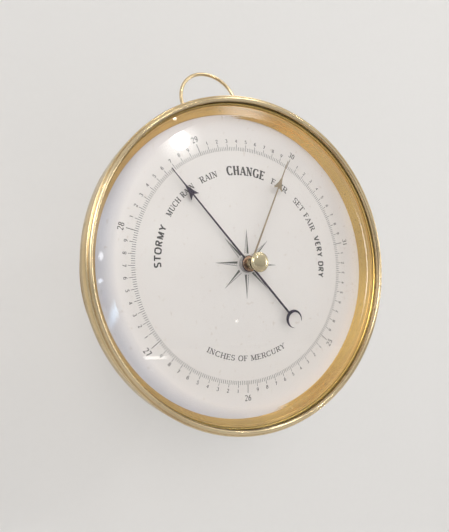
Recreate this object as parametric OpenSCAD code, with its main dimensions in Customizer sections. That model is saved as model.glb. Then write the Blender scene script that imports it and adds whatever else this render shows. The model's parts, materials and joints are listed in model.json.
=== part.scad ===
// Marine aneroid barometer with a 5 inch dial, hung on a wall by its ring.
// Each module works in the bench frame: dial axis along +z, 12 o'clock along +y, flat back at z = 0.
// stand() then turns the work so that the back lies in the XZ plane and the dial faces -Y.

/* [Case] */
// Outer radius of the spun drum
case_r = 62.2; // [56:0.1:70]
// Wall thickness of the drum
case_wall = 1.2; // [0.8:0.1:1.6]
// Radius of the round between the drum's wall and its back
case_corner_r = 3; // [2:0.5:5]
// Wall thickness of the collar soldered round the drum's mouth
collar_wall = 2; // [1.6:0.1:2.2]
// Height of the collar
collar_h = 8; // [6:0.5:10]
// Gap left between curved faces that seat on each other
fit_gap = 0.05; // [0.03:0.01:0.08]
// Running clearance of a shaft in its bearing, on the radius
run_gap = 0.03; // [0.02:0.01:0.06]

/* [Dial] */
// Width of the dial's rim that the sight ring covers
dial_rim = 1.6; // [0.6:0.1:2]
// Height of the dial's face above the flat back
dial_face_z = 38; // [36:0.5:44]
// Thickness of the dial plate
dial_t = 1; // [0.6:0.1:1.2]
// Radius of the hole in the dial for the pointer's collet
dial_hole_r = 2.2; // [1.6:0.1:3]

/* [Bezel and glass] */
// Height of the bezel's crest above the dial's face
bezel_h = 11.2; // [10.8:0.1:14]
// Width of the lip that is spun over the glass
lip_w = 0.65; // [0.3:0.05:1]
// Wall thickness of the bezel outside the glass
bezel_wall = 1.85; // [1.5:0.05:2.5]
// Width of the ledge between skirt and wall, on which the sight ring stands
seat_w = 2.75; // [2:0.05:4]
// Length of the skirt behind the dial's face
skirt_h = 8; // [6:0.5:10]
// Wall thickness of the skirt
skirt_wall = 1.2; // [0.8:0.1:1.8]
// Radius of the hollow moulding between skirt and bezel
cavetto_r = 2; // [1:0.1:2.4]
// Height of the sight ring, which holds the glass off the dial
sight_h = 7; // [6:0.1:8]
// Width of the sight ring's flat under the glass
sight_edge = 0.7; // [0.4:0.1:1]
// Thickness of the glass in its middle
glass_t = 2.8; // [2.2:0.1:3.2]
// Thickness of the glass at its edge
glass_edge_t = 1.2; // [0.8:0.1:1.6]
// Width of the bevel round the glass
bevel_w = 6.9; // [3:0.1:10]
// Gap between the bush and the hole in the glass
glass_hole_gap = 0.22; // [0.1:0.02:0.5]

/* [Ring and pendant] */
// Outer radius of the hanging ring
ring_r = 16.35; // [14:0.05:17]
// Radius of the ring's wire
ring_wire_r = 0.85; // [0.7:0.05:1.3]
// Angle at which the ring leans back to the wall
ring_lean = 8; // [0:1:8]
// Height of the eye's centre above the drum
eye_h = 6.9; // [6:0.1:9]
// Distance of the eye's centre in front of the flat back
eye_z = 6; // [5.6:0.1:8]
// Radius of the eye
eye_r = 2.9; // [2.6:0.1:3.2]
// Width of the eye along its bore
eye_w = 3.4; // [2.4:0.1:4]
// Gap round the ring's wire in the eye's bore
eye_gap = 0.35; // [0.25:0.05:0.45]
// Radius of the pendant's foot on the drum
pendant_foot_r = 3.4; // [3:0.1:4]
// Height of the pendant's foot
pendant_foot_h = 1.3; // [0.8:0.1:1.8]
// Radius of the pendant's neck
pendant_neck_r = 1.8; // [1.5:0.1:2.2]
// Radius of the pendant's threaded shank
shank_r = 1.5; // [1.2:0.1:1.6]
// Thickness of the nut on the shank
pendant_nut_t = 2; // [1.5:0.1:3]

/* [Setting hand] */
// Radius of the setting knob
knob_r = 4.1; // [3.4:0.1:5]
// Height of the knob's milled rim
knob_h = 1.6; // [1.2:0.1:2.4]
// Height of the knob's dome above its rim
knob_dome = 0.5; // [0.3:0.1:1]
// Radius of the setting hand's arbor
set_arbor_r = 1; // [0.8:0.05:1.1]
// Wall of the bush in the glass
bush_wall = 0.75; // [0.5:0.05:0.8]
// Radius of the bush's flange and nut
bush_flange_r = 3.2; // [2.8:0.1:3.6]
// Thickness of the bush's flange
bush_flange_t = 0.4; // [0.3:0.1:0.6]
// Thickness of the bush's nut
bush_nut_t = 1.1; // [0.8:0.1:1.3]
// Gap between the pointer's collet and the setting hand's hub
hands_gap = 0.4; // [0.3:0.05:0.6]
// Reading angle of the setting hand, clockwise from 12 o'clock
set_hand_angle = 23; // [0:1:359]
// Length of the setting hand
set_hand_l = 50.2; // [46:0.1:54]

/* [Pointer] */
// Height of the pointer above the dial's face
pointer_h = 2; // [1.6:0.05:2.4]
// Thickness of both hands
hand_t = 0.4; // [0.3:0.05:0.5]
// Reading angle of the pointer, clockwise from 12 o'clock
pointer_angle = 316.3; // [0:0.1:360]
// Length of the pointer from the arbor to its tip
pointer_l = 50.6; // [46:0.1:54]
// Length of the arrowhead
arrow_l = 14.6; // [10:0.1:18]
// Half width of the arrowhead at its barbs
arrow_half_w = 2.26; // [1.6:0.02:3]
// Depth of the notch behind the arrowhead
arrow_notch = 1.2; // [0.6:0.1:2]
// Length of the long point in front of the arrowhead's shoulders
arrow_point_l = 8.6; // [4:0.1:9]
// Half width of the hand's shaft near its boss
hand_root_w = 0.4; // [0.3:0.05:0.6]
// Half width of the hand's shaft near its head
hand_neck_w = 0.25; // [0.2:0.05:0.4]
// Distance from the arbor to the middle of the crescent
crescent_d = 32.5; // [26:0.1:36]
// Outer radius of the crescent
crescent_r = 4; // [3:0.1:5]
// Thickness of the crescent where it meets the shaft
crescent_t = 1.35; // [0.8:0.05:1.8]
// Gap between the crescent's two points
crescent_gap = 4.5; // [3:0.1:5.5]
// Radius of the pointer's steel boss
boss_r = 3.5; // [2.8:0.1:4]
// Radius of the pointer's brass collet
collet_r = 2.6; // [1.6:0.1:2.8]
// Height of the collet above the pointer
collet_rise = 0.5; // [0.3:0.1:0.6]
// Radius of the pointer's arbor
arbor_r = 0.5; // [0.4:0.05:0.6]

/* [Movement frame] */
// Gap between the movement's base plate and the drum's wall
plate_gap = 9; // [7:0.5:12]
// Thickness of the base plate
plate_t = 2; // [1.5:0.1:2.4]
// Distance of the dial pillars from the base plate's edge
pillar_inset = 6; // [4:0.5:8]
// Clock angle of the first dial pillar
pillar_angle = 50; // [44:1:56]
// Radius of a dial pillar
pillar_r = 2.2; // [1.8:0.1:2.6]
// Radius of a case screw's shank
case_screw_r = 1.2; // [1:0.1:1.4]
// Length of thread that a case screw takes in its pillar
case_screw_grip = 6; // [4:0.5:8]
// Distance of the bridge pillars from the capsule's rim
bridge_clear = 6; // [4:0.5:8]
// Gap between the capsule's post and the bridge over it
post_clear = 1.65; // [1.2:0.05:3]
// Thickness of the bridge
bridge_t = 1.6; // [1.2:0.1:2]
// Width of the bridge
bridge_w = 12; // [10:0.5:14]
// Distance of the cock's underside from the dial's back
cock_drop = 2.8; // [2.5:0.1:4]
// Thickness of the cock
cock_t = 1.2; // [1:0.1:1.3]
// Distance of the cock's pillars from the dial axis
cock_pillar_x = 14; // [12:0.5:18]
// Radius of the cock's pillars
cock_pillar_r = 1.6; // [1.3:0.1:2]

/* [Capsule and mainspring] */
// Gap between the capsule's rim and the mainspring's carrier
capsule_gap = 4; // [2:0.5:8]
// Height of the stud under the capsule
stud_h = 2.6; // [2:0.1:3]
// Height of each diaphragm above the rim
capsule_half_h = 2.4; // [2:0.1:2.6]
// Thickness of a diaphragm
diaphragm_t = 0.4; // [0.3:0.05:0.5]
// Number of corrugations across a diaphragm
corrugations = 4; // [3:1:5]
// Height of a corrugation above the diaphragm's mean plane
corrugation_h = 0.45; // [0.3:0.05:0.5]
// Radius of the flat pad in the middle of a diaphragm
pad_r = 5; // [4:0.5:6]
// Radius of the capsule's post
post_r = 2.4; // [2:0.1:2.6]
// Radius of the knife-edge pin through the post
knife_r = 0.8; // [0.6:0.05:1]
// Thickness of the mainspring's leaf
spring_t = 1.6; // [1.2:0.1:2]
// Width of the mainspring at its bend
spring_w = 26; // [20:0.5:28]
// Width of the mainspring at its free end
spring_tip_w = 14; // [12:0.5:18]
// Distance of the bend's axis from the base plate's edge
bend_inset = 10; // [9:0.5:12]
// Distance between the mainspring's two arms, middle to middle
spring_rise = 8; // [7:0.1:9]
// Reach of the mainspring's free end past the post
spring_reach = 9; // [8:0.5:10]
// Height of the carrier above the base plate
carrier_h = 5; // [4.4:0.1:5.6]
// Radius of the zero-adjusting screw
zero_screw_r = 1.5; // [1.2:0.1:1.6]
// Radius of the adjusting hole in the case's back
zero_hole_r = 1.9; // [1.8:0.05:2]

/* [Linkage] */
// Distance of the lever's end pin from the base plate's edge
lever_inset = 18; // [16:0.5:20]
// Thickness of the main lever
lever_t = 1.2; // [1:0.1:1.4]
// Half width of the main lever at its foot
lever_foot_w = 5; // [4.5:0.1:6]
// Length of the crank arm
crank_l = 4; // [3.8:0.1:4.4]
// Length of the link, from eye to eye
link_l = 4.6; // [4:0.1:5.5]
// Distance of the chain's run below the cock
chain_drop = 3.2; // [2.6:0.1:4]
// Radius of the rocking shaft
shaft_r = 1.3; // [1:0.1:1.6]
// Radius of the shaft's pivots
pivot_r = 0.6; // [0.5:0.05:0.8]
// Half length of the shaft between its bearing posts
shaft_half_l = 15; // [14:0.5:16]
// Radius of the chain drum on the pointer's arbor
chain_drum_r = 0.8; // [0.7:0.05:1]
// Thickness of the chain
chain_t = 0.4; // [0.3:0.05:0.5]
// Number of turns of the hairspring
hairspring_turns = 6; // [4:1:7]
// Outer radius of the hairspring
hairspring_r = 7.6; // [7:0.1:8]
// Thickness of the hairspring's strip
hairspring_t = 0.25; // [0.2:0.05:0.3]

/* [Hidden] */
$fn = 96;

// Case and dial
plate_z = case_wall;
plate_top = plate_z + plate_t;
dial_back_z = dial_face_z - dial_t;
collar_r = case_r + fit_gap + collar_wall;
dial_r = collar_r - fit_gap;
dial_view_r = dial_r - dial_rim;
case_inner_r = case_r - case_wall;
plate_r = case_inner_r - plate_gap;

// Bezel and glass
skirt_in_r = collar_r + fit_gap;
skirt_r = skirt_in_r + skirt_wall;
groove_r = skirt_in_r + seat_w;
bezel_r = groove_r + bezel_wall;
bezel_bead_r = (bezel_wall + lip_w) / 2;
lip_r = groove_r - lip_w;
crest_z = dial_face_z + bezel_h;
bead_z = crest_z - bezel_bead_r;
glass_r = groove_r - fit_gap;
glass_z = dial_face_z + sight_h;
glass_edge_z = glass_z + glass_edge_t;
glass_front_z = glass_z + glass_t;
sight_top_r = groove_r - fit_gap - sight_edge;
shoulder_z = dial_face_z - cavetto_r;

// Ring and pendant
eye_y = case_r + eye_h;
ring_mean_r = ring_r - ring_wire_r;
eye_bore_r = ring_wire_r + eye_gap;
nut_seat_y = sqrt(case_inner_r * case_inner_r - pendant_foot_r * pendant_foot_r);
nut_af_r = 1.9 * shank_r;
shank_spare = 1;
shank_end_y = nut_seat_y - pendant_nut_t - shank_spare;

// Setting hand
bush_bore_r = set_arbor_r + run_gap;
bush_r = bush_bore_r + bush_wall;
glass_hole_r = bush_r + glass_hole_gap;
end_gap = 0.15;
knob_z = glass_front_z + bush_flange_t + end_gap;
knob_bore_l = knob_h - 0.6;
knob_neck_r = set_arbor_r + 1.2;
knob_neck_h = 0.4 * knob_h;

// Pointer
pointer_z = dial_face_z + pointer_h;
collet_foot_r = collet_r - 0.4;
collet_cap_r = boss_r - 0.2;
collet_z = dial_face_z + 0.6;
collet_top_z = pointer_z + hand_t + collet_rise;

// Setting hand, between the pointer's collet and the bush's nut
set_hub_r = 2.2;
set_hub_z = collet_top_z + hands_gap;
set_hand_z = set_hub_z + end_gap;
bush_nut_z = glass_z - bush_nut_t;
washer_t = 0.3;
washer_dish = 0.3;
washer_r = 2.8;
washer_z = bush_nut_z - 2 * (washer_t + washer_dish) + 0.2;
set_hub_h = washer_z - set_hub_z;

arbor_end_z = collet_top_z - 0.1;
crescent_bore_d = crescent_r - crescent_t;
crescent_shift = (crescent_r * crescent_r - crescent_bore_d * crescent_bore_d)
    / (2 * (crescent_bore_d + sqrt(crescent_r * crescent_r - crescent_gap * crescent_gap / 4)));
crescent_inner_r = crescent_bore_d + crescent_shift;

// Movement
pillar_ring_r = plate_r - pillar_inset;
pillar_foot_w = 0.8;
pillar_foot_h = 1.5;
pillar_clock = [pillar_angle, 180 - pillar_angle, 180 + pillar_angle, 360 - pillar_angle];
csk_r = case_screw_r + case_wall - 2 * fit_gap;
tap_gap = fit_gap;
slot_w = 0.5;
slot_h = 0.4;
screw_head_h = 0.9;
bridge_screw_grip = 4;
cock_screw_grip = 3;
cock_end_r = 3;
cock_w = 7;

// Capsule and mainspring
bend_y = plate_r - bend_inset;
carrier_back_l = 4;
carrier_front_l = 8;
carrier_edge_w = 3;
carrier_back_y = bend_y + carrier_back_l;
carrier_front_y = bend_y - carrier_front_l;
capsule_r = carrier_front_y - capsule_gap;
capsule_z = plate_top + stud_h + diaphragm_t + capsule_half_h;
capsule_skirt_w = 3;
capsule_rim_w = 2;
capsule_top_z = capsule_z + capsule_half_h + diaphragm_t;
capsule_low_z = capsule_z - capsule_half_h - diaphragm_t;
carrier_top = plate_top + carrier_h;
spring_low_z = carrier_top + spring_t / 2;
spring_high_z = spring_low_z + spring_rise;
spring_top = spring_high_z + spring_t / 2;
bend_z = (spring_low_z + spring_high_z) / 2;
bend_mean_r = spring_rise / 2;
carrier_half_w = spring_w / 2 + carrier_edge_w;
heel_w = 3;
carrier_lift = 1;
clamp_t = 1.4;
clamp_l = 7;
clamp_screw_grip = 3;
clamp_top = carrier_top + spring_t + clamp_t;
clamp_screw_x = 9;
clamp_screw_y = carrier_front_y + clamp_l / 2;
carrier_screw_x = 12;
carrier_screw_y = carrier_back_y - heel_w / 2;
zero_screw_y = carrier_front_y + 2;
knife_z = spring_top + knife_r + fit_gap;
knife_reach = 2.5;
post_top = knife_z + 1.7;
post_hole_r = post_r + 0.8;
post_foot_r = pad_r - 0.5;
post_foot_t = 1;
bridge_z = post_top + post_clear;
bridge_top = bridge_z + bridge_t;
bridge_pillar_x = capsule_r + bridge_clear;
cock_z = dial_back_z - cock_drop;

// Linkage
lever_z = spring_top;
lever_pin_z = lever_z + lever_t / 2;
lever_root_y = post_r + 1.6;
lever_screw_y = lever_root_y + 2.4;
lever_screw_x = lever_foot_w - 1.5;
lever_neck_w = 2.4;
lever_neck_y = spring_reach + 3;
lever_tip_w = 0.8;
link_pin_r = 0.5;
lever_end_y = plate_r - lever_inset;
shaft_y = lever_end_y + crank_l;
shaft_z = lever_pin_z + link_l;
chain_z = cock_z - chain_drop;
chain_arm_l = chain_z - shaft_z;
link_eye_r = 1.4;
link_play = 0.45;
link_t = 0.8;
link_x = -1.9;
crank_x = -4;
arm_t = 1;
arm_hub_r = 2.2;
post_half_w = 2.5;
bearing_t = 3;
bearing_foot = 1.5;
weight_arm_l = 5.5;
weight_r = 2;
weight_half_l = 2;
chain_line_x = chain_drum_r + chain_t / 2;
chain_drum_h = 1.6;
chain_pitch = 1.5;
hairspring_z = (bridge_top + chain_z) / 2 + 0.2;
hairspring_h = 0.6;
hairspring_collet_r = 1.4;
hairspring_steps = 24;
stud_offset = 0.8;
stud_post_r = 0.95;

// Turns bench work upright: back in the XZ plane, dial facing -Y
module stand() rotate([90, 0, 0]) children();

// Places its children at a clock angle, measured clockwise from 12 o'clock
module clock(angle) rotate([0, 0, -angle]) children();

// A cylinder along x, from x0 to x1, at the height y, z
module rod_x(x0, x1, y, z, r) translate([x0, y, z]) rotate([0, 90, 0]) cylinder(r = r, h = x1 - x0);

// A box between two corners
module box(low, high) translate(low) cube(high - low);

// A flat plate in the yz plane, from x0 to x0 + t, drawn in (y, z)
module plate_x(x0, t) translate([x0, 0, 0]) rotate([90, 0, 90]) linear_extrude(t) children();

// Half profile of a cup with a rounded corner at its foot
module cup_half(r, corner, h) {
    square([r - corner, h]);
    translate([0, corner]) square([r, h - corner]);
    intersection() {
        translate([r - corner, corner]) circle(corner);
        square([r, h]);
    }
}

module drum_solid() rotate_extrude() cup_half(case_r, case_corner_r, dial_back_z);

module drum_hollow() translate([0, 0, case_wall]) rotate_extrude()
    cup_half(case_inner_r, max(case_corner_r - case_wall, 0.4), dial_back_z);

// A countersunk screw seen from its head, which lies at z = 0 and is slotted
module csk_screw(r, l, head_r) difference() {
    union() {
        cylinder(r1 = head_r, r2 = r, h = head_r - r);
        cylinder(r = r, h = l);
    }
    translate([-head_r, -slot_w / 2, -1]) cube([2 * head_r, slot_w, 1 + slot_h]);
}

module csk_hole(r, l, head_r) {
    cylinder(r1 = head_r + 3 * tap_gap, r2 = r + tap_gap, h = head_r - r + 2 * tap_gap);
    translate([0, 0, -1]) cylinder(r = r + tap_gap, h = l + 1);
}

// A cheese-head screw whose head stands on z = 0
module cheese_screw(r, l, head_r) difference() {
    union() {
        cylinder(r = head_r, h = screw_head_h);
        translate([0, 0, -l]) cylinder(r = r, h = l);
    }
    translate([-head_r - 1, -slot_w / 2, screw_head_h - slot_h]) cube([2 * head_r + 2, slot_w, 1]);
}

// Case
module case_drum() color("goldenrod") stand() difference() {
    drum_solid();
    drum_hollow();
    for (a = pillar_clock) clock(a) translate([0, pillar_ring_r, 0])
        csk_hole(case_screw_r, 2 * case_wall + 1, csk_r);
    translate([0, -zero_screw_y, -1]) cylinder(r = zero_hole_r, h = case_wall + 2);
    translate([0, case_inner_r - shank_r, eye_z]) rotate([-90, 0, 0])
        cylinder(r = shank_r + tap_gap, h = case_wall + 2 * shank_r);
}

module case_collar() color("goldenrod") stand() translate([0, 0, dial_back_z - collar_h])
    difference() {
        cylinder(r = collar_r, h = collar_h);
        translate([0, 0, -1]) cylinder(r = case_r + fit_gap, h = collar_h + 2);
    }

// Section of the bezel: skirt, hollow moulding, wall, bead and the lip spun over the glass
module bezel_section() difference() {
    union() {
        translate([skirt_in_r, dial_face_z - skirt_h]) square([skirt_wall, skirt_h]);
        translate([skirt_in_r, shoulder_z]) square([bezel_r - skirt_in_r, bead_z - shoulder_z]);
        translate([lip_r + bezel_bead_r, bead_z]) circle(bezel_bead_r);
    }
    translate([bezel_r, shoulder_z]) scale([(bezel_r - skirt_r) / cavetto_r, 1]) circle(cavetto_r);
    polygon([[dial_view_r - 2, dial_face_z], [groove_r, dial_face_z], [groove_r, glass_edge_z],
        [lip_r, glass_edge_z + 0.15], [lip_r, crest_z + 1], [dial_view_r - 2, crest_z + 1]]);
}

module bezel() color("goldenrod") stand() rotate_extrude($fn = 180) bezel_section();

module sight_ring() color("gold") stand() rotate_extrude($fn = 180)
    polygon([[dial_view_r, dial_face_z], [groove_r - fit_gap, dial_face_z],
        [groove_r - fit_gap, glass_z], [sight_top_r, glass_z]]);

module glass() color("lightcyan", 0.3) stand() rotate_extrude($fn = 180)
    polygon([[glass_hole_r, glass_z], [glass_r, glass_z], [glass_r, glass_edge_z],
        [glass_r - bevel_w, glass_front_z], [glass_hole_r, glass_front_z]]);

module dial_plate() color("ivory") stand() translate([0, 0, dial_back_z]) difference() {
    cylinder(r = dial_r, h = dial_t);
    translate([0, 0, -1]) cylinder(r = dial_hole_r, h = dial_t + 2);
}

// Pendant: a turned post through the drum's wall, with an eye for the ring
module pendant() color("goldenrod") stand() difference() {
    translate([0, 0, eye_z]) rotate([-90, 0, 0]) {
        translate([0, 0, shank_end_y]) cylinder(r = shank_r, h = case_r - shank_end_y);
        translate([0, 0, case_r - 1]) cylinder(r = pendant_foot_r, h = 1 + pendant_foot_h * 0.6);
        translate([0, 0, case_r + pendant_foot_h * 0.6])
            cylinder(r1 = pendant_foot_r, r2 = pendant_neck_r, h = pendant_foot_h * 0.7);
        translate([0, 0, case_r]) cylinder(r = pendant_neck_r, h = eye_y - case_r - eye_r / 2);
        intersection() {
            translate([0, 0, eye_y]) sphere(eye_r);
            translate([-eye_w / 2, -eye_r, 0]) cube([eye_w, 2 * eye_r, eye_y + eye_r]);
        }
    }
    rod_x(-eye_w, eye_w, eye_y, eye_z, eye_bore_r);
    difference() {
        translate([0, 0, -case_r]) cylinder(r = case_r + fit_gap, h = 2 * dial_face_z + case_r);
        translate([0, 0, eye_z]) rotate([-90, 0, 0]) cylinder(r = shank_r, h = case_r + 2);
    }
}

module pendant_nut() color("goldenrod") stand() translate([0, 0, eye_z]) rotate([-90, 0, 0])
    translate([0, 0, nut_seat_y - pendant_nut_t]) difference() {
        cylinder(r = nut_af_r, h = pendant_nut_t, $fn = 6);
        translate([0, 0, -1]) cylinder(r = shank_r + tap_gap, h = pendant_nut_t + 2);
    }

module hanging_ring() color("goldenrod") stand() translate([0, eye_y, eye_z]) rotate([-ring_lean, 0, 0])
    translate([0, ring_mean_r, 0]) rotate_extrude($fn = 96)
        translate([ring_mean_r, 0]) circle(ring_wire_r, $fn = 32);

// Setting hand, its arbor through the glass, and its knob
module setting_knob() color("goldenrod") stand() translate([0, 0, knob_z]) {
    dome_r = (knob_r * knob_r + knob_dome * knob_dome) / (2 * knob_dome);
    difference() {
        union() {
            cylinder(r = knob_neck_r, h = knob_h);
            translate([0, 0, knob_neck_h]) cylinder(r = knob_r, h = knob_h - knob_neck_h);
            intersection() {
                translate([0, 0, knob_h + knob_dome - dome_r]) sphere(dome_r, $fn = 180);
                translate([0, 0, knob_neck_h]) cylinder(r = knob_r, h = knob_h + knob_dome + 1);
            }
        }
        translate([0, 0, -1]) cylinder(r = set_arbor_r + fit_gap, h = 1 + knob_bore_l);
    }
}

module set_hand_arbor() color("goldenrod") stand() translate([0, 0, set_hub_z])
    cylinder(r = set_arbor_r, h = knob_z + knob_bore_l - fit_gap - set_hub_z);

module glass_bush() color("goldenrod") stand() difference() {
    union() {
        translate([0, 0, bush_nut_z]) cylinder(r = bush_r, h = glass_front_z - bush_nut_z);
        translate([0, 0, glass_front_z]) cylinder(r = bush_flange_r, h = bush_flange_t);
    }
    translate([0, 0, bush_nut_z - 1]) cylinder(r = bush_bore_r, h = glass_t + bush_nut_t + 3);
}

module bush_nut() color("goldenrod") stand() translate([0, 0, bush_nut_z]) difference() {
    cylinder(r = bush_flange_r, h = bush_nut_t, $fn = 6);
    translate([0, 0, -1]) cylinder(r = bush_r + tap_gap, h = bush_nut_t + 2);
}

module friction_washer() color("goldenrod") stand() rotate_extrude()
    translate([0, washer_z + fit_gap])
        polygon([[bush_bore_r + 0.1, 0], [bush_bore_r + 0.1, washer_t],
            [washer_r, washer_t + washer_dish], [washer_r, washer_dish]]);

// Outline of a hand that points along +y: shaft, barbed arrowhead and its long point
module hand_outline(l) {
    barb_y = l - arrow_l;
    shoulder_y = l - arrow_point_l;
    polygon([[-hand_root_w, 0], [-hand_neck_w, barb_y + arrow_notch], [-arrow_half_w, barb_y],
        [-arrow_half_w * 0.42, (barb_y + shoulder_y) / 2], [-hand_neck_w, shoulder_y], [-0.1, l], [0.1, l],
        [hand_neck_w, shoulder_y], [arrow_half_w * 0.42, (barb_y + shoulder_y) / 2], [arrow_half_w, barb_y],
        [hand_neck_w, barb_y + arrow_notch], [hand_root_w, 0]]);
}

module set_hand() color("darkgoldenrod") stand() clock(set_hand_angle) {
    difference() {
        union() {
            translate([0, 0, set_hand_z]) linear_extrude(hand_t) hand_outline(set_hand_l);
            translate([0, 0, set_hub_z]) cylinder(r = set_hub_r, h = set_hub_h);
        }
        translate([0, 0, set_hub_z - 1]) cylinder(r = set_arbor_r + fit_gap, h = set_hub_h + 2);
    }
}

// Pointer with its crescent tail
module pointer() color("midnightblue") stand() clock(pointer_angle) translate([0, 0, pointer_z])
    linear_extrude(hand_t) difference() {
        union() {
            hand_outline(pointer_l);
            circle(boss_r);
            translate([-hand_root_w, crescent_r - crescent_d - 0.2])
                square([2 * hand_root_w, crescent_d - crescent_r]);
            translate([0, -crescent_d]) difference() {
                circle(crescent_r);
                translate([0, -crescent_shift]) circle(crescent_inner_r);
            }
        }
        circle(collet_r + fit_gap);
    }

module pointer_collet() color("peru") stand() difference() {
    union() {
        translate([0, 0, collet_z]) cylinder(r = collet_foot_r, h = pointer_z - collet_z);
        translate([0, 0, pointer_z]) cylinder(r = collet_r, h = collet_top_z - pointer_z);
        translate([0, 0, pointer_z + hand_t + fit_gap])
            cylinder(r = collet_cap_r, h = collet_rise - fit_gap);
    }
    translate([0, 0, collet_z - 1]) cylinder(r = arbor_r + fit_gap, h = arbor_end_z - collet_z + 1 + fit_gap);
}

module pointer_arbor() color("silver") stand() translate([0, 0, bridge_z])
    cylinder(r = arbor_r, h = arbor_end_z - bridge_z);

module chain_drum() color("goldenrod") stand() translate([0, 0, chain_z - chain_drum_h / 2]) difference() {
    union() {
        cylinder(r = chain_drum_r, h = chain_drum_h);
        cylinder(r = 2 * chain_drum_r, h = 0.4);
        translate([0, 0, chain_drum_h - 0.4]) cylinder(r = 2 * chain_drum_r, h = 0.4);
    }
    translate([0, 0, -1]) cylinder(r = arbor_r + fit_gap, h = chain_drum_h + 2);
}

module hairspring_collet() color("goldenrod") stand() translate([0, 0, hairspring_z - 0.4]) difference() {
    cylinder(r = hairspring_collet_r, h = hairspring_h + 0.8);
    translate([0, 0, -1]) cylinder(r = arbor_r + fit_gap, h = hairspring_h + 3);
}

// Movement frame
module base_plate() color("goldenrod") stand() difference() {
    translate([0, 0, plate_z]) cylinder(r = plate_r, h = plate_t);
    for (a = pillar_clock) clock(a) translate([0, pillar_ring_r, plate_z - 1])
        cylinder(r = case_screw_r + tap_gap, h = plate_t + 2);
    for (x = [-1, 1]) translate([x * carrier_screw_x, -carrier_screw_y, plate_z])
        csk_hole(case_screw_r, plate_t + 1, csk_r);
    translate([0, -zero_screw_y, plate_z - 1]) cylinder(r = zero_screw_r + tap_gap, h = plate_t + 2);
    translate([0, 0, plate_z - 1]) cylinder(r = post_r + tap_gap, h = plate_t + 2);
}

module dial_pillar(index) color("goldenrod") stand() clock(pillar_clock[index - 1])
    translate([0, pillar_ring_r, plate_top]) difference() {
        union() {
            cylinder(r = pillar_r, h = dial_back_z - plate_top);
            cylinder(r = pillar_r + pillar_foot_w, h = pillar_foot_h);
            translate([0, 0, dial_back_z - plate_top - pillar_foot_h])
                cylinder(r = pillar_r + pillar_foot_w, h = pillar_foot_h);
        }
        translate([0, 0, -1]) cylinder(r = case_screw_r + tap_gap, h = case_screw_grip + 1.5);
    }
module dial_pillar_1() dial_pillar(1);
module dial_pillar_2() dial_pillar(2);
module dial_pillar_3() dial_pillar(3);
module dial_pillar_4() dial_pillar(4);

module case_screws() color("goldenrod") stand() for (a = pillar_clock)
    clock(a) translate([0, pillar_ring_r, fit_gap])
        csk_screw(case_screw_r, plate_top + case_screw_grip, csk_r);

module bridge_pillar(side) color("goldenrod") stand() translate([side * bridge_pillar_x, 0, plate_top])
    difference() {
        union() {
            cylinder(r = pillar_r, h = bridge_z - plate_top);
            cylinder(r = pillar_r + pillar_foot_w, h = pillar_foot_h);
        }
        translate([0, 0, bridge_z - plate_top - bridge_screw_grip - 1])
            cylinder(r = case_screw_r + tap_gap, h = bridge_screw_grip + 2);
    }
module bridge_pillar_left() bridge_pillar(-1);
module bridge_pillar_right() bridge_pillar(1);

module arbor_bridge() color("goldenrod") stand() difference() {
    translate([0, 0, bridge_z]) linear_extrude(bridge_t) {
        square([2 * bridge_pillar_x, bridge_w * 0.6], center = true);
        circle(bridge_w * 0.75);
        for (x = [-1, 1]) translate([x * bridge_pillar_x, 0]) circle(bridge_w * 0.3);
    }
    translate([0, 0, bridge_z - 1]) cylinder(r = arbor_r + run_gap, h = bridge_t + 2);
    for (x = [-1, 1]) translate([x * bridge_pillar_x, 0, bridge_z - 1])
        cylinder(r = case_screw_r + tap_gap, h = bridge_t + 2);
}

module bridge_screws() color("steelblue") stand() for (x = [-1, 1])
    translate([x * bridge_pillar_x, 0, bridge_top])
        cheese_screw(case_screw_r, bridge_t + bridge_screw_grip, 2 * case_screw_r);

module cock_pillars() color("goldenrod") stand() for (x = [-1, 1])
    translate([x * cock_pillar_x, 0, bridge_top]) difference() {
        cylinder(r = cock_pillar_r, h = cock_z - bridge_top);
        translate([0, 0, cock_z - bridge_top - cock_screw_grip - 0.5])
            cylinder(r = cock_pillar_r / 2 + tap_gap, h = cock_screw_grip + 1);
    }

module upper_cock() color("goldenrod") stand() difference() {
    translate([0, 0, cock_z]) linear_extrude(cock_t) {
        square([2 * cock_pillar_x, cock_w * 0.7], center = true);
        circle(cock_w / 2);
        for (x = [-1, 1]) translate([x * cock_pillar_x, 0]) circle(cock_end_r);
    }
    translate([0, 0, cock_z - 1]) cylinder(r = arbor_r + run_gap, h = cock_t + 2);
    for (x = [-1, 1]) translate([x * cock_pillar_x, 0, cock_z - 1])
        cylinder(r = cock_pillar_r / 2 + tap_gap, h = cock_t + 2);
}

module cock_screws() color("steelblue") stand() for (x = [-1, 1])
    translate([x * cock_pillar_x, 0, cock_z + cock_t])
        cheese_screw(cock_pillar_r / 2, cock_t + cock_screw_grip, cock_pillar_r);

// Vacuum capsule: two corrugated diaphragms soldered at the rim
wave_w = capsule_r - capsule_skirt_w - pad_r;
function wave(r) = capsule_half_h
    + corrugation_h * sin(360 * corrugations * (r - pad_r) / wave_w);
wave_rs = [for (i = [0 : 6 * corrugations]) pad_r + wave_w * i / (6 * corrugations)];

module diaphragm() rotate_extrude() polygon(concat(
    [[0, capsule_half_h]], [for (r = wave_rs) [r, wave(r)]],
    [[capsule_r - capsule_rim_w, 0], [capsule_r, 0], [capsule_r, diaphragm_t],
        [capsule_r - capsule_rim_w + diaphragm_t, diaphragm_t]],
    [for (i = [len(wave_rs) - 1 : -1 : 0]) [wave_rs[i], wave(wave_rs[i]) + diaphragm_t]],
    [[0, capsule_half_h + diaphragm_t]]));

module capsule_upper() color("silver") stand() translate([0, 0, capsule_z]) diaphragm();

module capsule_lower() color("silver") stand() translate([0, 0, capsule_z]) mirror([0, 0, 1]) diaphragm();

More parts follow.
